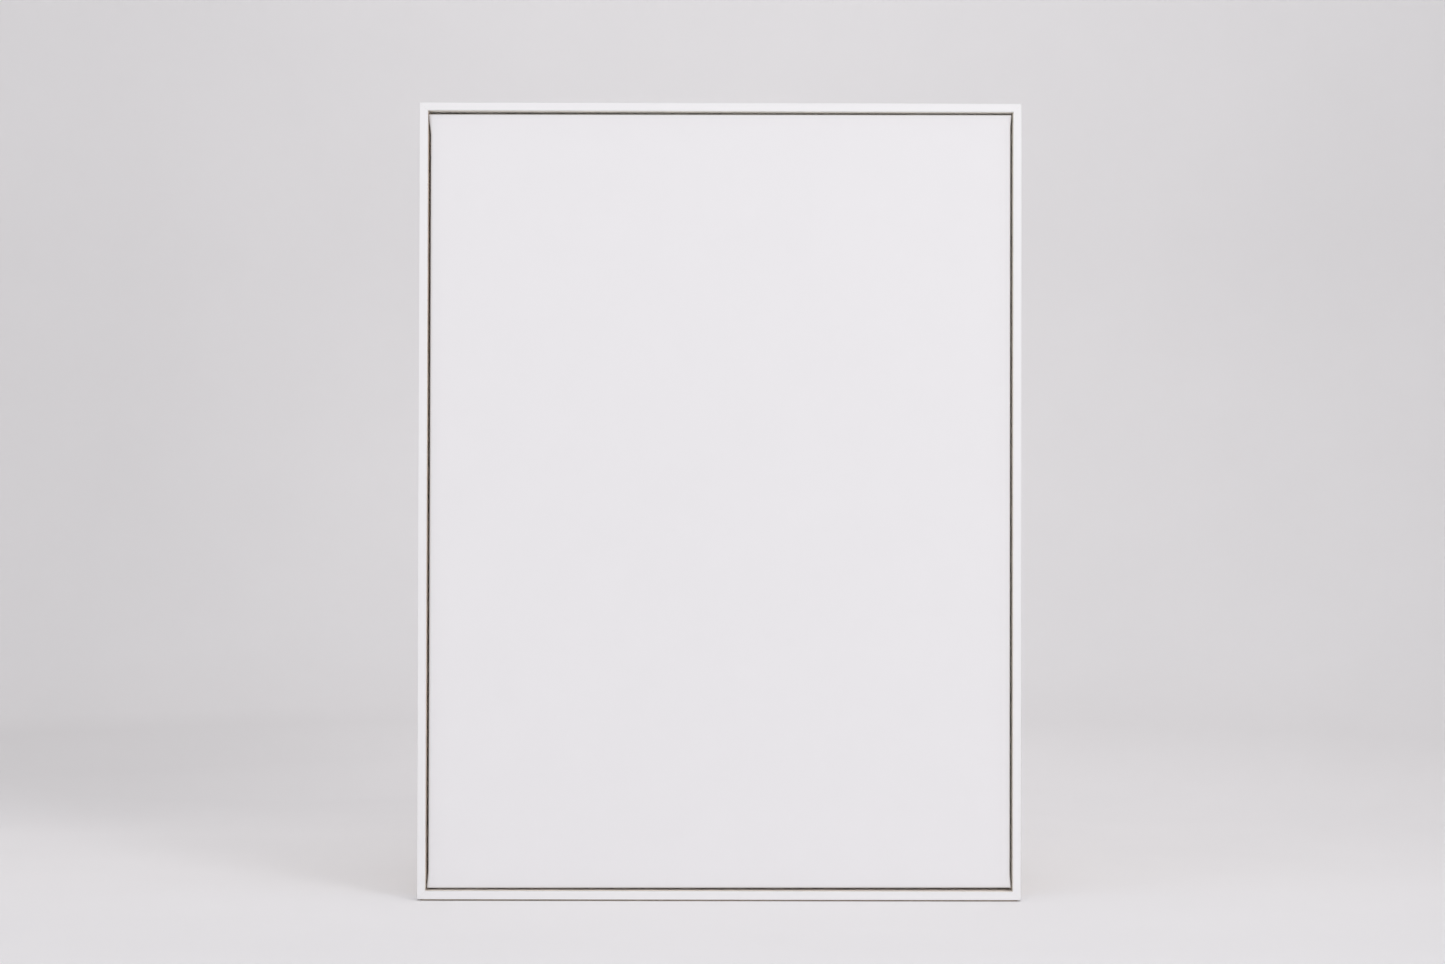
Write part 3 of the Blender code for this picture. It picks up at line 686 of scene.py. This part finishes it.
def add_piece(name, mesh, body, stands_for=(), place=(0, 0, 0), turn=(0, 0, 0)):
    """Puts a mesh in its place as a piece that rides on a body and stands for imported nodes."""
    piece = bpy.data.objects.new(name, mesh)
    piece.location = place
    piece.rotation_euler = turn
    bpy.context.scene.collection.objects.link(piece)
    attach(piece, body)
    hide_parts(*stands_for)
    return piece


def cut_away(name, bm, tool_bm, materials):
    """The mesh that is left of one solid when another is taken out of it."""
    pieces = []
    for label, form in (("solid", bm), ("tool", tool_bm)):
        piece = bpy.data.objects.new(f"{name}_{label}", to_mesh(f"{name}_{label}", form, materials))
        bpy.context.scene.collection.objects.link(piece)
        pieces.append(piece)
    solid, tool = pieces
    cut = solid.modifiers.new("cut", "BOOLEAN")
    cut.object = tool
    bpy.context.view_layer.update()
    graph = bpy.context.evaluated_depsgraph_get()
    mesh = bpy.data.meshes.new_from_object(solid.evaluated_get(graph))
    mesh.name = name
    for piece in pieces:
        bpy.data.objects.remove(piece)
    mesh.set_sharp_from_angle(angle=math.radians(30))
    return mesh


# White rails


def make_rail(side):
    """One mitred rail: lacquered outside, with painted light and shade in the gap, bare at the back."""
    lacquer, shaded_gap, bare = range(3)
    back_width = FACE_WIDTH + LEDGE_WIDTH
    ledge = FRAME_HIGH.y - LEDGE_THICKNESS
    corners = [
        (0, FRAME_LOW.y, ARRIS_RADIUS),
        (FACE_WIDTH, FRAME_LOW.y, ARRIS_RADIUS),
        (FACE_WIDTH, ledge, 0),
        (back_width, ledge, ARRIS_RADIUS),
        (back_width, FRAME_HIGH.y, ARRIS_RADIUS),
        (0, FRAME_HIGH.y, ARRIS_RADIUS),
    ]
    turn_finish = [lacquer, lacquer, shaded_gap, shaded_gap, bare, lacquer]
    flat_finish = [lacquer, shaded_gap, shaded_gap, bare, bare, lacquer]
    profile = []
    finish = []
    eased = []
    for number, points in enumerate(rounded(corners, ARRIS_STEPS)):
        profile += points
        finish += [turn_finish[number]] * (len(points) - 1) + [flat_finish[number]]
        eased += [True] * (len(points) - 1) + [False]
    length, reach = across(side, FRAME_SIZE.x, FRAME_SIZE.z)
    loops = []
    for sign in (-1, 1):
        spots = [(sign * (length / 2 - w - MITRE_HAIRLINE), reach - w) for w, _ in profile]
        loops.append([(x, y, z) for (x, z), (_, y) in zip(turned_to(side, spots), profile)])
    bm = bmesh.new()
    faces = add_loft(bm, loops, smooth=False)
    for face, band, is_eased in zip(faces, finish, eased):
        face.material_index = band
        face.smooth = is_eased
    for cap in faces[len(profile):]:
        cap.material_index = bare
    line = GRAIN_LINE[side]
    pith = (0, 0.075, 0.03) if side in ("top", "left") else (0, -0.06, 0.045)
    timber = make_timber(f"bare_timber_{side}", line, pith, BARE_EARLY, BARE_LATE, BARE_RING)
    mesh = to_mesh(f"white_rail_{side}", bm, [white_lacquer, gap_light_and_shade[side], timber])
    add_piece(f"white_rail_{side}", mesh, "frame", [f"frame_{side}_rail"])


for side in SIDES:
    make_rail(side)


def make_felt_strip():
    """The felt under the bottom rail, with rounded corners and soft edges."""
    low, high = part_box("base_felt_strip")
    heights = (low.z, low.z + FELT_ROUND, high.z - FELT_ROUND, high.z)
    loops = []
    for sunk, z in zip((FELT_ROUND, 0, 0, FELT_ROUND), heights):
        left, right = low.x + sunk, high.x - sunk
        near, far = low.y + sunk, high.y - sunk
        outline = [(x, y, FELT_CORNER) for x, y in ((left, near), (left, far), (right, far), (right, near))]
        loops.append([(x, y, z) for points in rounded(outline, 8) for x, y in points])
    bm = bmesh.new()
    add_loft(bm, loops)
    mesh = to_mesh("pressed_felt_base", bm, [felt])
    add_piece("pressed_felt_base", mesh, "frame", ["base_felt_strip"])


make_felt_strip()


# Stretched canvas


def cloth_stations():
    """From the flat of the front to the cut edge at the back: inset, depth, way along the cloth."""
    front = CLOTH_LOW.y
    back = CLOTH_HIGH.y
    r = CLOTH_RADIUS
    stations = [(inset * MM, front, -inset * MM) for inset in (60, 42, 28, 18, 11, 6.5, 4)]
    way = -r
    for inset, y in arc((r, front + r), r, 270, 180, 6):
        stations.append((inset, y, way))
        way += r * math.radians(15)
    way = r * (math.pi / 2 - 1)
    side_run = back - front - 2 * r
    for share in (0.06, 0.16, 0.3, 0.45, 0.6, 0.75, 0.9):
        stations.append((0, front + r + side_run * share, way + side_run * share))
    way += side_run
    for k, (inset, y) in enumerate(arc((r, back - r), r, 180, 90, 6)):
        stations.append((inset, y, way + r * math.radians(15) * k))
    way += r * math.pi / 2
    for inset in (6, 11, 17, 23, 28, 32, CLOTH_RETURN / MM):
        stations.append((inset * MM, back, way + inset * MM - r))
    return stations


def cloth_columns():
    """One corner of the canvas, from the middle of its level side to the middle of its upright one."""
    columns = [("level", share) for share in (0, 0.3, 0.52, 0.68, 0.8, 0.88, 0.935, 0.968, 0.988)]
    columns += [("turn", angle) for angle in (0, 30, 60, 90)]
    columns += [("fold", fade) for fade in (0.94, 0.85, 0.72, 0.56, 0.4, 0.25, 0.12, 0.04, 0)]
    columns += [("plain", share) for share in (0.02, 0.06, 0.13, 0.23, 0.37, 0.55, 0.76, 1)]
    return columns


def cloth_point(column, station, corner):
    """A column's point at one station of the cloth, for a corner with positive signs."""
    kind, share = column
    inset, y, _ = station
    half_width = CANVAS_WIDTH / 2 - inset
    half_height = CANVAS_HEIGHT / 2 - inset
    proud, tip_run = EARS[corner]
    depth = y - CLOTH_LOW.y
    run = tip_run + 0.7 * depth
    front = math.exp(-max(0.0, depth - CLOTH_RADIUS) / EAR_FADE)
    swell = FOLD_THICKNESS + (proud - FOLD_THICKNESS) * front
    if y < CLOTH_LOW.y + CLOTH_RADIUS:
        swell *= max(0.0, 1 - inset / CLOTH_RADIUS)
    if y > CLOTH_HIGH.y - CLOTH_RADIUS:
        swell *= max(0.0, 1 - inset / CLOTH_RADIUS)
    steep = 0.15 + 0.85 * front
    c = CANVAS_CORNER
    if kind == "level":
        return share * (half_width + swell - c), half_height
    if kind == "turn":
        a = math.radians(share)
        return half_width + swell - c + c * math.sin(a), half_height - c + c * math.cos(a)
    if kind == "fold":
        ease = 0.5 * share + 0.25 - 0.25 * math.cos(math.pi * share)
        return half_width + swell * ease**steep, half_height - c - run * (1 - share)
    return half_width, (half_height - c - run) * (1 - share)


def make_cloth():
    """The primed canvas as one sheet: front, sides, folded corners and the turned-over back."""
    stations = cloth_stations()
    columns = cloth_columns()
    around = []
    for corner in ("top_right", "bottom_right", "bottom_left", "top_left"):
        ordered = columns if corner in ("top_right", "bottom_left") else columns[::-1]
        around += [(corner, column) for column in ordered[:-1]]
    bm = bmesh.new()
    cut = bm.loops.layers.uv.new("cut")
    rings = []
    flats = []
    for station in stations:
        inset, y, way = station
        ring = []
        flat = []
        for corner, column in around:
            sx, sz = CORNERS[corner]
            x, z = cloth_point(column, station, corner)
            x *= sx
            z *= sz
            level_cut = (x, sz * (CANVAS_HEIGHT / 2 + way))
            upright_cut = (sx * (CANVAS_WIDTH / 2 + way), z)
            depth = y
            if station is stations[-1]:
                wave = HEM_WAVE * noise.noise(Vector((x, 0, z)) * 35)
                x -= wave * (1 if column[0] in ("fold", "plain") else 0) * sx
                z -= wave * (1 if column[0] == "level" else 0) * sz
            elif inset > CLOTH_RADIUS and y < 0 and inset < 50 * MM:
                depth += FRONT_WAVE * noise.noise(Vector((x, 3, z)) * 22)
            spot = Vector((x, depth, z + CLOTH_SKEW * x + MIDDLE_HEIGHT))
            ring.append(bm.verts.new(spot))
            flat.append((level_cut, upright_cut))
        rings.append(ring)
        flats.append(flat)
    count = len(around)
    made = [bm.faces.new(rings[0])]
    for loop in made[0].loops:
        loop[cut].uv = (loop.vert.co.x, loop.vert.co.z)
    for near in range(len(rings) - 1):
        far = near + 1
        for i in range(count):
            j = (i + 1) % count
            on_level = all(around[k][1][0] in ("level", "turn") for k in (i, j))
            spots = [(near, i), (far, i), (far, j), (near, j)]
            face = bm.faces.new([rings[row][k] for row, k in spots])
            face.smooth = True
            for loop, (row, k) in zip(face.loops, spots):
                u, v = flats[row][k][0 if on_level else 1]
                loop[cut].uv = (u, v + MIDDLE_HEIGHT)
            made.append(face)
    bmesh.ops.recalc_face_normals(bm, faces=made)
    if made[0].normal.y > 0:
        bmesh.ops.reverse_faces(bm, faces=made)
    mesh = to_mesh("stretched_cloth", bm, [primed_face, raw_back])
    cloth = add_piece("stretched_cloth", mesh, "frame", ["canvas_cloth"])
    thick = cloth.modifiers.new("thickness", "SOLIDIFY")
    thick.thickness = CLOTH_THICKNESS
    thick.offset = -1
    thick.material_offset = 1
    thick.material_offset_rim = 1
    return cloth


def make_staples(side):
    """Staples that hold the turned-over cloth to a bar, each set a little differently by hand."""
    length, reach = across(side, CANVAS_WIDTH, CANVAS_HEIGHT)
    span = length - 4 * STAPLE_INSET
    number = round(span / STAPLE_SPACING)
    crown = CLOTH_HIGH.y + STAPLE_WIRE[1] / 2
    half = STAPLE_WIDTH / 2
    outline = [
        (-half, -STAPLE_LEG, 0),
        (-half, 0, STAPLE_CORNER),
        (half, 0, STAPLE_CORNER),
        (half, -STAPLE_LEG, 0),
    ]
    shape = [point for points in rounded(outline, 4) for point in points]
    bm = bmesh.new()
    for k in range(number + 1):
        along = -span / 2 + span * k / number + chance.uniform(-6, 6) * MM
        off = reach - STAPLE_INSET + chance.uniform(-0.7, 0.7) * MM
        tilt = math.radians(chance.uniform(-7, 7))
        spots = []
        for u, v in shape:
            flat = (along + u * math.cos(tilt), off + u * math.sin(tilt))
            (x, z), = turned_to(side, [flat])
            spots.append(Vector((x, crown + v, z + CLOTH_SKEW * x)))
        (a, b), (c, d) = turned_to(side, [(0, 0), (-math.sin(tilt), math.cos(tilt))])
        add_wire(bm, spots, STAPLE_WIRE[1], STAPLE_WIRE[0], Vector((c - a, 0, d - b)), 10)
    mesh = to_mesh(f"staples_{side}", bm, [nickel])
    return add_piece(f"staples_{side}", mesh, "frame")


cloth = make_cloth()
staples = [make_staples(side) for side in SIDES]


# Stretcher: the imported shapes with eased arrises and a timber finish


def eased_mesh(name, node, material):
    """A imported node's shape with its arrises eased."""
    bm = bmesh.new()
    bm.from_mesh(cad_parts[node].data)
    bm.transform(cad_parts[node].matrix_world)
    bmesh.ops.remove_doubles(bm, verts=bm.verts, dist=WELD)
    bmesh.ops.dissolve_limit(bm, angle_limit=math.radians(1), verts=bm.verts, edges=bm.edges)
    sharp = [edge for edge in bm.edges if edge.calc_face_angle() > math.radians(30)]
    bmesh.ops.bevel(bm, geom=sharp, offset=TIMBER_EASE, segments=2, profile=0.5, affect="EDGES")
    return to_mesh(name, bm, [material])


def add_pine(name, node, line, pith, ring):
    pine = make_timber(f"pine_{name.split('_')[-1]}", line, pith, PINE_EARLY, PINE_LATE, ring)
    add_piece(name, eased_mesh(name, node, pine), "frame", [node])


for number, side in enumerate(SIDES):
    centre = middle_of(f"stretcher_{side}_bar")
    line = GRAIN_LINE[side]
    if line == "X":
        pith = (0.3 * number, centre.y - 0.05, centre.z + 0.03)
    else:
        pith = (0.3 * number, centre.y + 0.045, -centre.x - 0.03)
    add_pine(f"pine_bar_{side}", f"stretcher_{side}_bar", line, pith, PINE_RING)

centre = middle_of("cross_brace")
add_pine("eased_brace", "cross_brace", "X", (0.7, centre.y + 0.06, centre.z - 0.02), BRACE_RING)

for name in sorted(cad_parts):
    if name.startswith("stretcher_key_"):
        body = name.removeprefix("stretcher_")
        line = "Z" if body.startswith(("key_top", "key_bottom")) else "X"
        mesh = eased_mesh(f"beech_{body}", name, key_beech[line])
        add_piece(f"beech_{body}", mesh, body, [name])


# Screws


def cross_outline(long, wide):
    """A plus shape, from the half-length and the half-width of its arms."""
    arm = [(wide, wide), (long, wide), (long, -wide)]
    outline = []
    for _ in range(4):
        outline += arm
        arm = [(v, -u) for u, v in arm]
    return outline


def make_screw_mesh():
    """A pan head with a cross recess on a pointed shank, its seat at depth 0 and its head to +Y."""
    dome = (HEAD_HEIGHT - HEAD_RIM) / HEAD_RADIUS
    profile = [(radius, HEAD_RIM + rise * dome) for radius, rise in arc((0, 0), HEAD_RADIUS, 86, 0, 10)]
    profile += [(HEAD_RADIUS, HEAD_EASE), (HEAD_RADIUS - HEAD_EASE, 0), (SHANK_RADIUS, 0)]
    profile += [(SHANK_RADIUS, -SHANK_LENGTH), (POINT_RADIUS, -SCREW_LENGTH)]
    bm = bmesh.new()
    add_turned(bm, profile)
    tool = bmesh.new()
    loops = []
    for y, share in ((HEAD_HEIGHT + MM, 1.15), (HEAD_HEIGHT - RECESS_DEPTH, 0.55)):
        outline = cross_outline(RECESS_LENGTH / 2 * share, RECESS_WIDTH / 2 * share)
        loops.append([(u, y, v) for u, v in outline])
    add_loft(tool, loops, smooth=False)
    return cut_away("pan_screw", bm, tool, [zinc])


screw_mesh = make_screw_mesh()
for name in sorted(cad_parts):
    if "_screw_" in name:
        seat = middle_of(name)
        seat.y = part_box(name)[1].y - HEAD_HEIGHT
        turn = (0, chance.uniform(0, math.pi / 2), 0)
        add_piece(f"pan_head_{name}", screw_mesh, "frame", [name], seat, turn)


# Corner nails


def make_nail(corner, row):
    """A V-shaped nail across a mitre, driven flush into the bare back."""
    node = f"corner_nail_{corner}_{row}"
    low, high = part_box(node)
    sx, sz = CORNERS[corner]
    apex_x = high.x if sx > 0 else low.x
    apex_z = high.z if sz > 0 else low.z
    t = NAIL_THICKNESS
    w = NAIL_WING
    level_wing = [(0, 0), (w, 0), (w + NAIL_TIP, t / 2), (w, t), (t * 1.3, t)]
    upright_wing = [(v, u) for u, v in level_wing[:0:-1]]
    outline = [(apex_x - sx * u, apex_z - sz * v) for u, v in level_wing + upright_wing]
    loops = [[(x, y, z) for x, z in outline] for y in (low.y, FRAME_HIGH.y + NAIL_PROUD)]
    bm = bmesh.new()
    add_loft(bm, loops, smooth=False)
    mesh = to_mesh(f"v_nail_{corner}_{row}", bm, [zinc])
    add_piece(f"v_nail_{corner}_{row}", mesh, "frame", [node])


for corner in CORNERS:
    for row in ("outer", "inner"):
        make_nail(corner, row)


# Hangers


def strap_path(end):
    """The middle of the strip, as (drop, depth) from the ring's axis: up, round the wire, down."""
    middle = EYE_RADIUS + STRAP_SHEET / 2
    rail_side = -middle
    face_side = rail_side + STRAP_SHEET + STRAP_SEAM
    rounding = [STRAP_WIDTH / 2 * (1 - math.cos(math.radians(a))) for a in range(0, 91, 15)]
    path = [(end - back, rail_side) for back in rounding]
    path += [(end * k / 6, rail_side) for k in range(4, 0, -1)]
    path += arc((0, 0), middle, 270, 20, 24)
    start = path[-1]
    bend = (2.9 * MM, face_side + 0.5 * MM)
    finish = (5.2 * MM, face_side)
    for k in range(1, 7):
        t = k / 6
        a, b, c = (1 - t) ** 2, 2 * t * (1 - t), t * t
        path.append(tuple(a * p + b * q + c * r for p, q, r in zip(start, bend, finish)))
    path += [(end * k / 6, face_side) for k in range(2, 5)]
    path += [(end - back, face_side) for back in reversed(rounding)]
    return path


def make_strap(side):
    """A strip folded round the ring's straight leg, with a rounded end and two screw holes.
    Gives back the middle of the leg."""
    node = f"hanger_strap_{side}"
    low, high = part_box(node)
    centre_x = (low.x + high.x) / 2
    axis_y = low.y + STRAP_SHEET + EYE_RADIUS
    axis_z = high.z - STRAP_SHEET - EYE_RADIUS
    end = axis_z - low.z
    path = strap_path(end)
    flank = 1 - 2 * STRAP_EASE / STRAP_SHEET
    loops = []
    for i, (drop, y) in enumerate(path):
        before = Vector(path[max(i - 1, 0)])
        after = Vector(path[min(i + 1, len(path) - 1)])
        ahead = (after - before).normalized()
        out = Vector((-ahead.y, ahead.x)) * (STRAP_SHEET / 2)
        tail = max(0.0, drop - (end - STRAP_WIDTH / 2))
        half = math.sqrt(max((STRAP_WIDTH / 2) ** 2 - tail**2, STRAP_END**2))
        flat = half - STRAP_EASE
        section = [(-half, -flank), (-flat, -1), (flat, -1), (half, -flank)]
        section += [(half, flank), (flat, 1), (-flat, 1), (-half, flank)]
        loop = []
        for u, share in section:
            spot = Vector((drop, y)) + out * share
            loop.append((centre_x + u, axis_y + spot.y, axis_z - spot.x))
        loops.append(loop)
    bm = bmesh.new()
    add_loft(bm, loops)
    tool = bmesh.new()
    for number in (1, 2):
        spot = middle_of(f"hanger_screw_{side}_{number}")
        rim = [(spot.x + u, spot.z + v) for u, v in circle(STRAP_HOLE, ROUND_SIDES)]
        add_loft(tool, [[(x, y, z) for x, z in rim] for y in (low.y - MM, low.y + 4 * MM)])
    mesh = cut_away(f"folded_strap_{side}", bm, tool, [nickel])
    add_piece(f"folded_strap_{side}", mesh, "frame", [node])
    return Vector((centre_x, axis_y, axis_z))


def make_ring(side, axis):
    """A wire ring that hangs from its straight leg and rests against the strap."""
    node = f"hanger_ring_{side}"
    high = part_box(node)[1]
    half = RING_WIDTH / 2
    outline = [
        (-half, 0, RING_CORNER),
        (half, 0, RING_CORNER),
        (half, -RING_DROP, RING_BOW_CORNER),
        (-half, -RING_DROP, RING_BOW_CORNER),
    ]
    path = []
    for points in rounded(outline, 12):
        path += [Vector((x, 0, z)) for x, z in points]
    lean = math.asin((high.y - RING_WIRE - axis.y) / RING_DROP)
    tilt = Matrix.Rotation(lean, 4, "X")
    bm = bmesh.new()
    wire = 2 * RING_WIRE
    add_wire(bm, path, wire, wire, Vector((0, 1, 0)), 20, joined=True)
    bmesh.ops.transform(bm, matrix=Matrix.Translation(axis) @ tilt, verts=bm.verts)
    mesh = to_mesh(f"wire_ring_{side}", bm, [nickel])
    add_piece(f"wire_ring_{side}", mesh, f"ring_{side}", [node])


def make_bumper(side):
    """A tapered rubber foot with a rounded rim."""
    node = f"wall_bumper_{side}"
    low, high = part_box(node)
    centre = middle_of(node)
    radius = (high.x - low.x) / 2
    height = high.y - low.y
    turn = (radius - BUMPER_TAPER - BUMPER_ROUND, height - BUMPER_ROUND)
    profile = [(0.4 * MM, height)] + arc(turn, BUMPER_ROUND, 90, 10, 6)
    profile += [(radius, 0.5 * MM), (radius - 0.15 * MM, 0.1 * MM), (radius - 0.4 * MM, 0)]
    bm = bmesh.new()
    add_turned(bm, profile)
    mesh = to_mesh(f"rubber_bumper_{side}", bm, [rubber])
    seat = (centre.x, low.y, centre.z)
    add_piece(f"rubber_bumper_{side}", mesh, "frame", [node], seat)


for side in ("left", "right"):
    make_ring(side, make_strap(side))
    make_bumper(side)


# Studio


FLOOR_RADIUS = 1.5
SWEEP_RADIUS = 1.1
WALL_HEIGHT = 4.5
SWEEP_SIDES = 128
# Two tones each of the far floor, lighter as a pool of painted light, the near floor, the wall's foot,
# darker as painted shade, and the wall
PAPER_LIGHT_AND_SHADE_TONES = (
    ((0.898, 0.89, 0.892, 1), (0.885, 0.877, 0.879, 1)),
    ((0.848, 0.843, 0.848, 1), (0.835, 0.83, 0.835, 1)),
    ((0.815, 0.807, 0.809, 1), (0.802, 0.794, 0.796, 1)),
    ((0.824, 0.819, 0.824, 1), (0.811, 0.806, 0.811, 1)),
)
LIT_POOL_EDGE = (-0.4, 0.12)  # depths between which the near floor gives way to the far floor's pool of painted light
FOOT_EDGE = (0.0, 0.1)  # heights between which the floor gives way to the wall's foot and its painted shade
WALL_EDGE = (0.11, 0.24)  # and the foot to the wall
PAPER_MIDDLE = 0.13  # the wall has painted shade to both sides of this line
PAPER_SPREAD = 1.4  # distance to the side at which the wall is darker by the full painted side shade
SIDE_SHADE = 0.09
FAR_EDGE = (0.75, 1.25)  # a painted shadow in the floor's far left corner, between these depths,
LEFT_EDGE = (-0.3, -1.0)  # these places to the left
LOW_EDGE = (0.13, 0.04)  # and these heights
CORNER_SHADOW = 0.1
RIGHT_EDGE = (0.5, 1.2)  # painted shade on the floor between these places to the right
RIGHT_SHADE = 0.055


def make_studio():
    """A round pale floor that sweeps up into a wall."""
    profile = [(0.02, 0), (0.4, 0), (0.9, 0), (FLOOR_RADIUS, 0)]
    profile += arc((FLOOR_RADIUS, SWEEP_RADIUS), SWEEP_RADIUS, 270, 360, 24)[1:]
    profile += [(FLOOR_RADIUS + SWEEP_RADIUS, WALL_HEIGHT)]
    bm = bmesh.new()
    rings = []
    for radius, z in profile:
        rings.append([bm.verts.new((x, y, z)) for x, y in circle(radius, SWEEP_SIDES)])
    bm.faces.new(rings[0])
    for near, far in zip(rings, rings[1:]):
        for i in range(SWEEP_SIDES):
            j = (i + 1) % SWEEP_SIDES
            face = bm.faces.new((near[i], far[i], far[j], near[j]))
            face.smooth = True
            in_front = max(vert.co.y for vert in face.verts) <= 0
            face.material_index = int(in_front and near[i].co.z > 0)
    papers = [make_studio_paper("studio_paper", False), make_studio_paper("open_paper", True)]
    studio = bpy.data.objects.new("studio_sweep", to_mesh("studio_sweep", bm, papers))
    bpy.context.scene.collection.objects.link(studio)


# Softboxes: place, the point that each looks at, width and height, and power
LIGHTS = {
    "front_bank": ((0, -5.0, 2.6), (0, 0, 0.5), (3.0, 1.6), 11.5),
    "high_key": ((2.2, -3.4, 3.6), (0, 0, 0.5), (1.2, 1.2), 28.0),
    "low_key": ((2.6, -3.8, 1.4), (0, 0, 0.5), (1.0, 1.0), 15.3),
    "backdrop_strip": ((0.05, 0.9, 2.7), (0.05, 2.5, 1.2), (1.2, 0.5), 1.7),
}
LIGHT_COLOUR = (1.0, 0.985, 1.0)
AMBIENT = 0.847
AMBIENT_COLOUR = (1.0, 0.985, 1.005, 1)


def make_lights():
    for name, (place, target, size, power) in LIGHTS.items():
        light = bpy.data.lights.new(name, "AREA")
        light.shape = "RECTANGLE"
        light.size, light.size_y = size
        light.energy = power
        light.color = LIGHT_COLOUR
        lamp = bpy.data.objects.new(name, light)
        lamp.location = place
        lamp.visible_camera = False
        lamp.rotation_euler = (Vector(target) - Vector(place)).to_track_quat("-Z", "Y").to_euler()
        bpy.context.scene.collection.objects.link(lamp)
    world = bpy.data.worlds.new("studio_air")
    world.use_nodes = True
    air = world.node_tree.nodes["Background"]
    air.inputs["Color"].default_value = AMBIENT_COLOUR
    air.inputs["Strength"].default_value = AMBIENT
    bpy.context.scene.world = world


# Camera: fitted to the edges of the frame and the canvas in the photo
CAMERA_LENS = 70.0
CAMERA_PLACE = (-0.0186, -3.7102, 0.4996)
CAMERA_PITCH = 0.7655
CAMERA_YAW = 0.3386
CAMERA_ROLL = 0.1297


def make_camera():
    pitch, yaw, roll = (math.radians(a) for a in (CAMERA_PITCH, CAMERA_YAW, CAMERA_ROLL))
    ahead = Vector((math.sin(yaw) * math.cos(pitch), math.cos(yaw) * math.cos(pitch), math.sin(pitch)))
    right = Vector((math.cos(yaw), -math.sin(yaw), 0))
    up = right.cross(ahead)
    right, up = (
        math.cos(roll) * right + math.sin(roll) * up,
        math.cos(roll) * up - math.sin(roll) * right,
    )
    lens = bpy.data.cameras.new("photo_camera")
    lens.lens = CAMERA_LENS
    camera = bpy.data.objects.new("photo_camera", lens)
    turn = Matrix((right, up, -ahead)).transposed()
    camera.matrix_world = Matrix.Translation(CAMERA_PLACE) @ turn.to_4x4()
    bpy.context.scene.collection.objects.link(camera)
    bpy.context.scene.camera = camera


make_studio()
make_lights()
make_camera()
bpy.context.scene.view_settings.view_transform = "Standard"
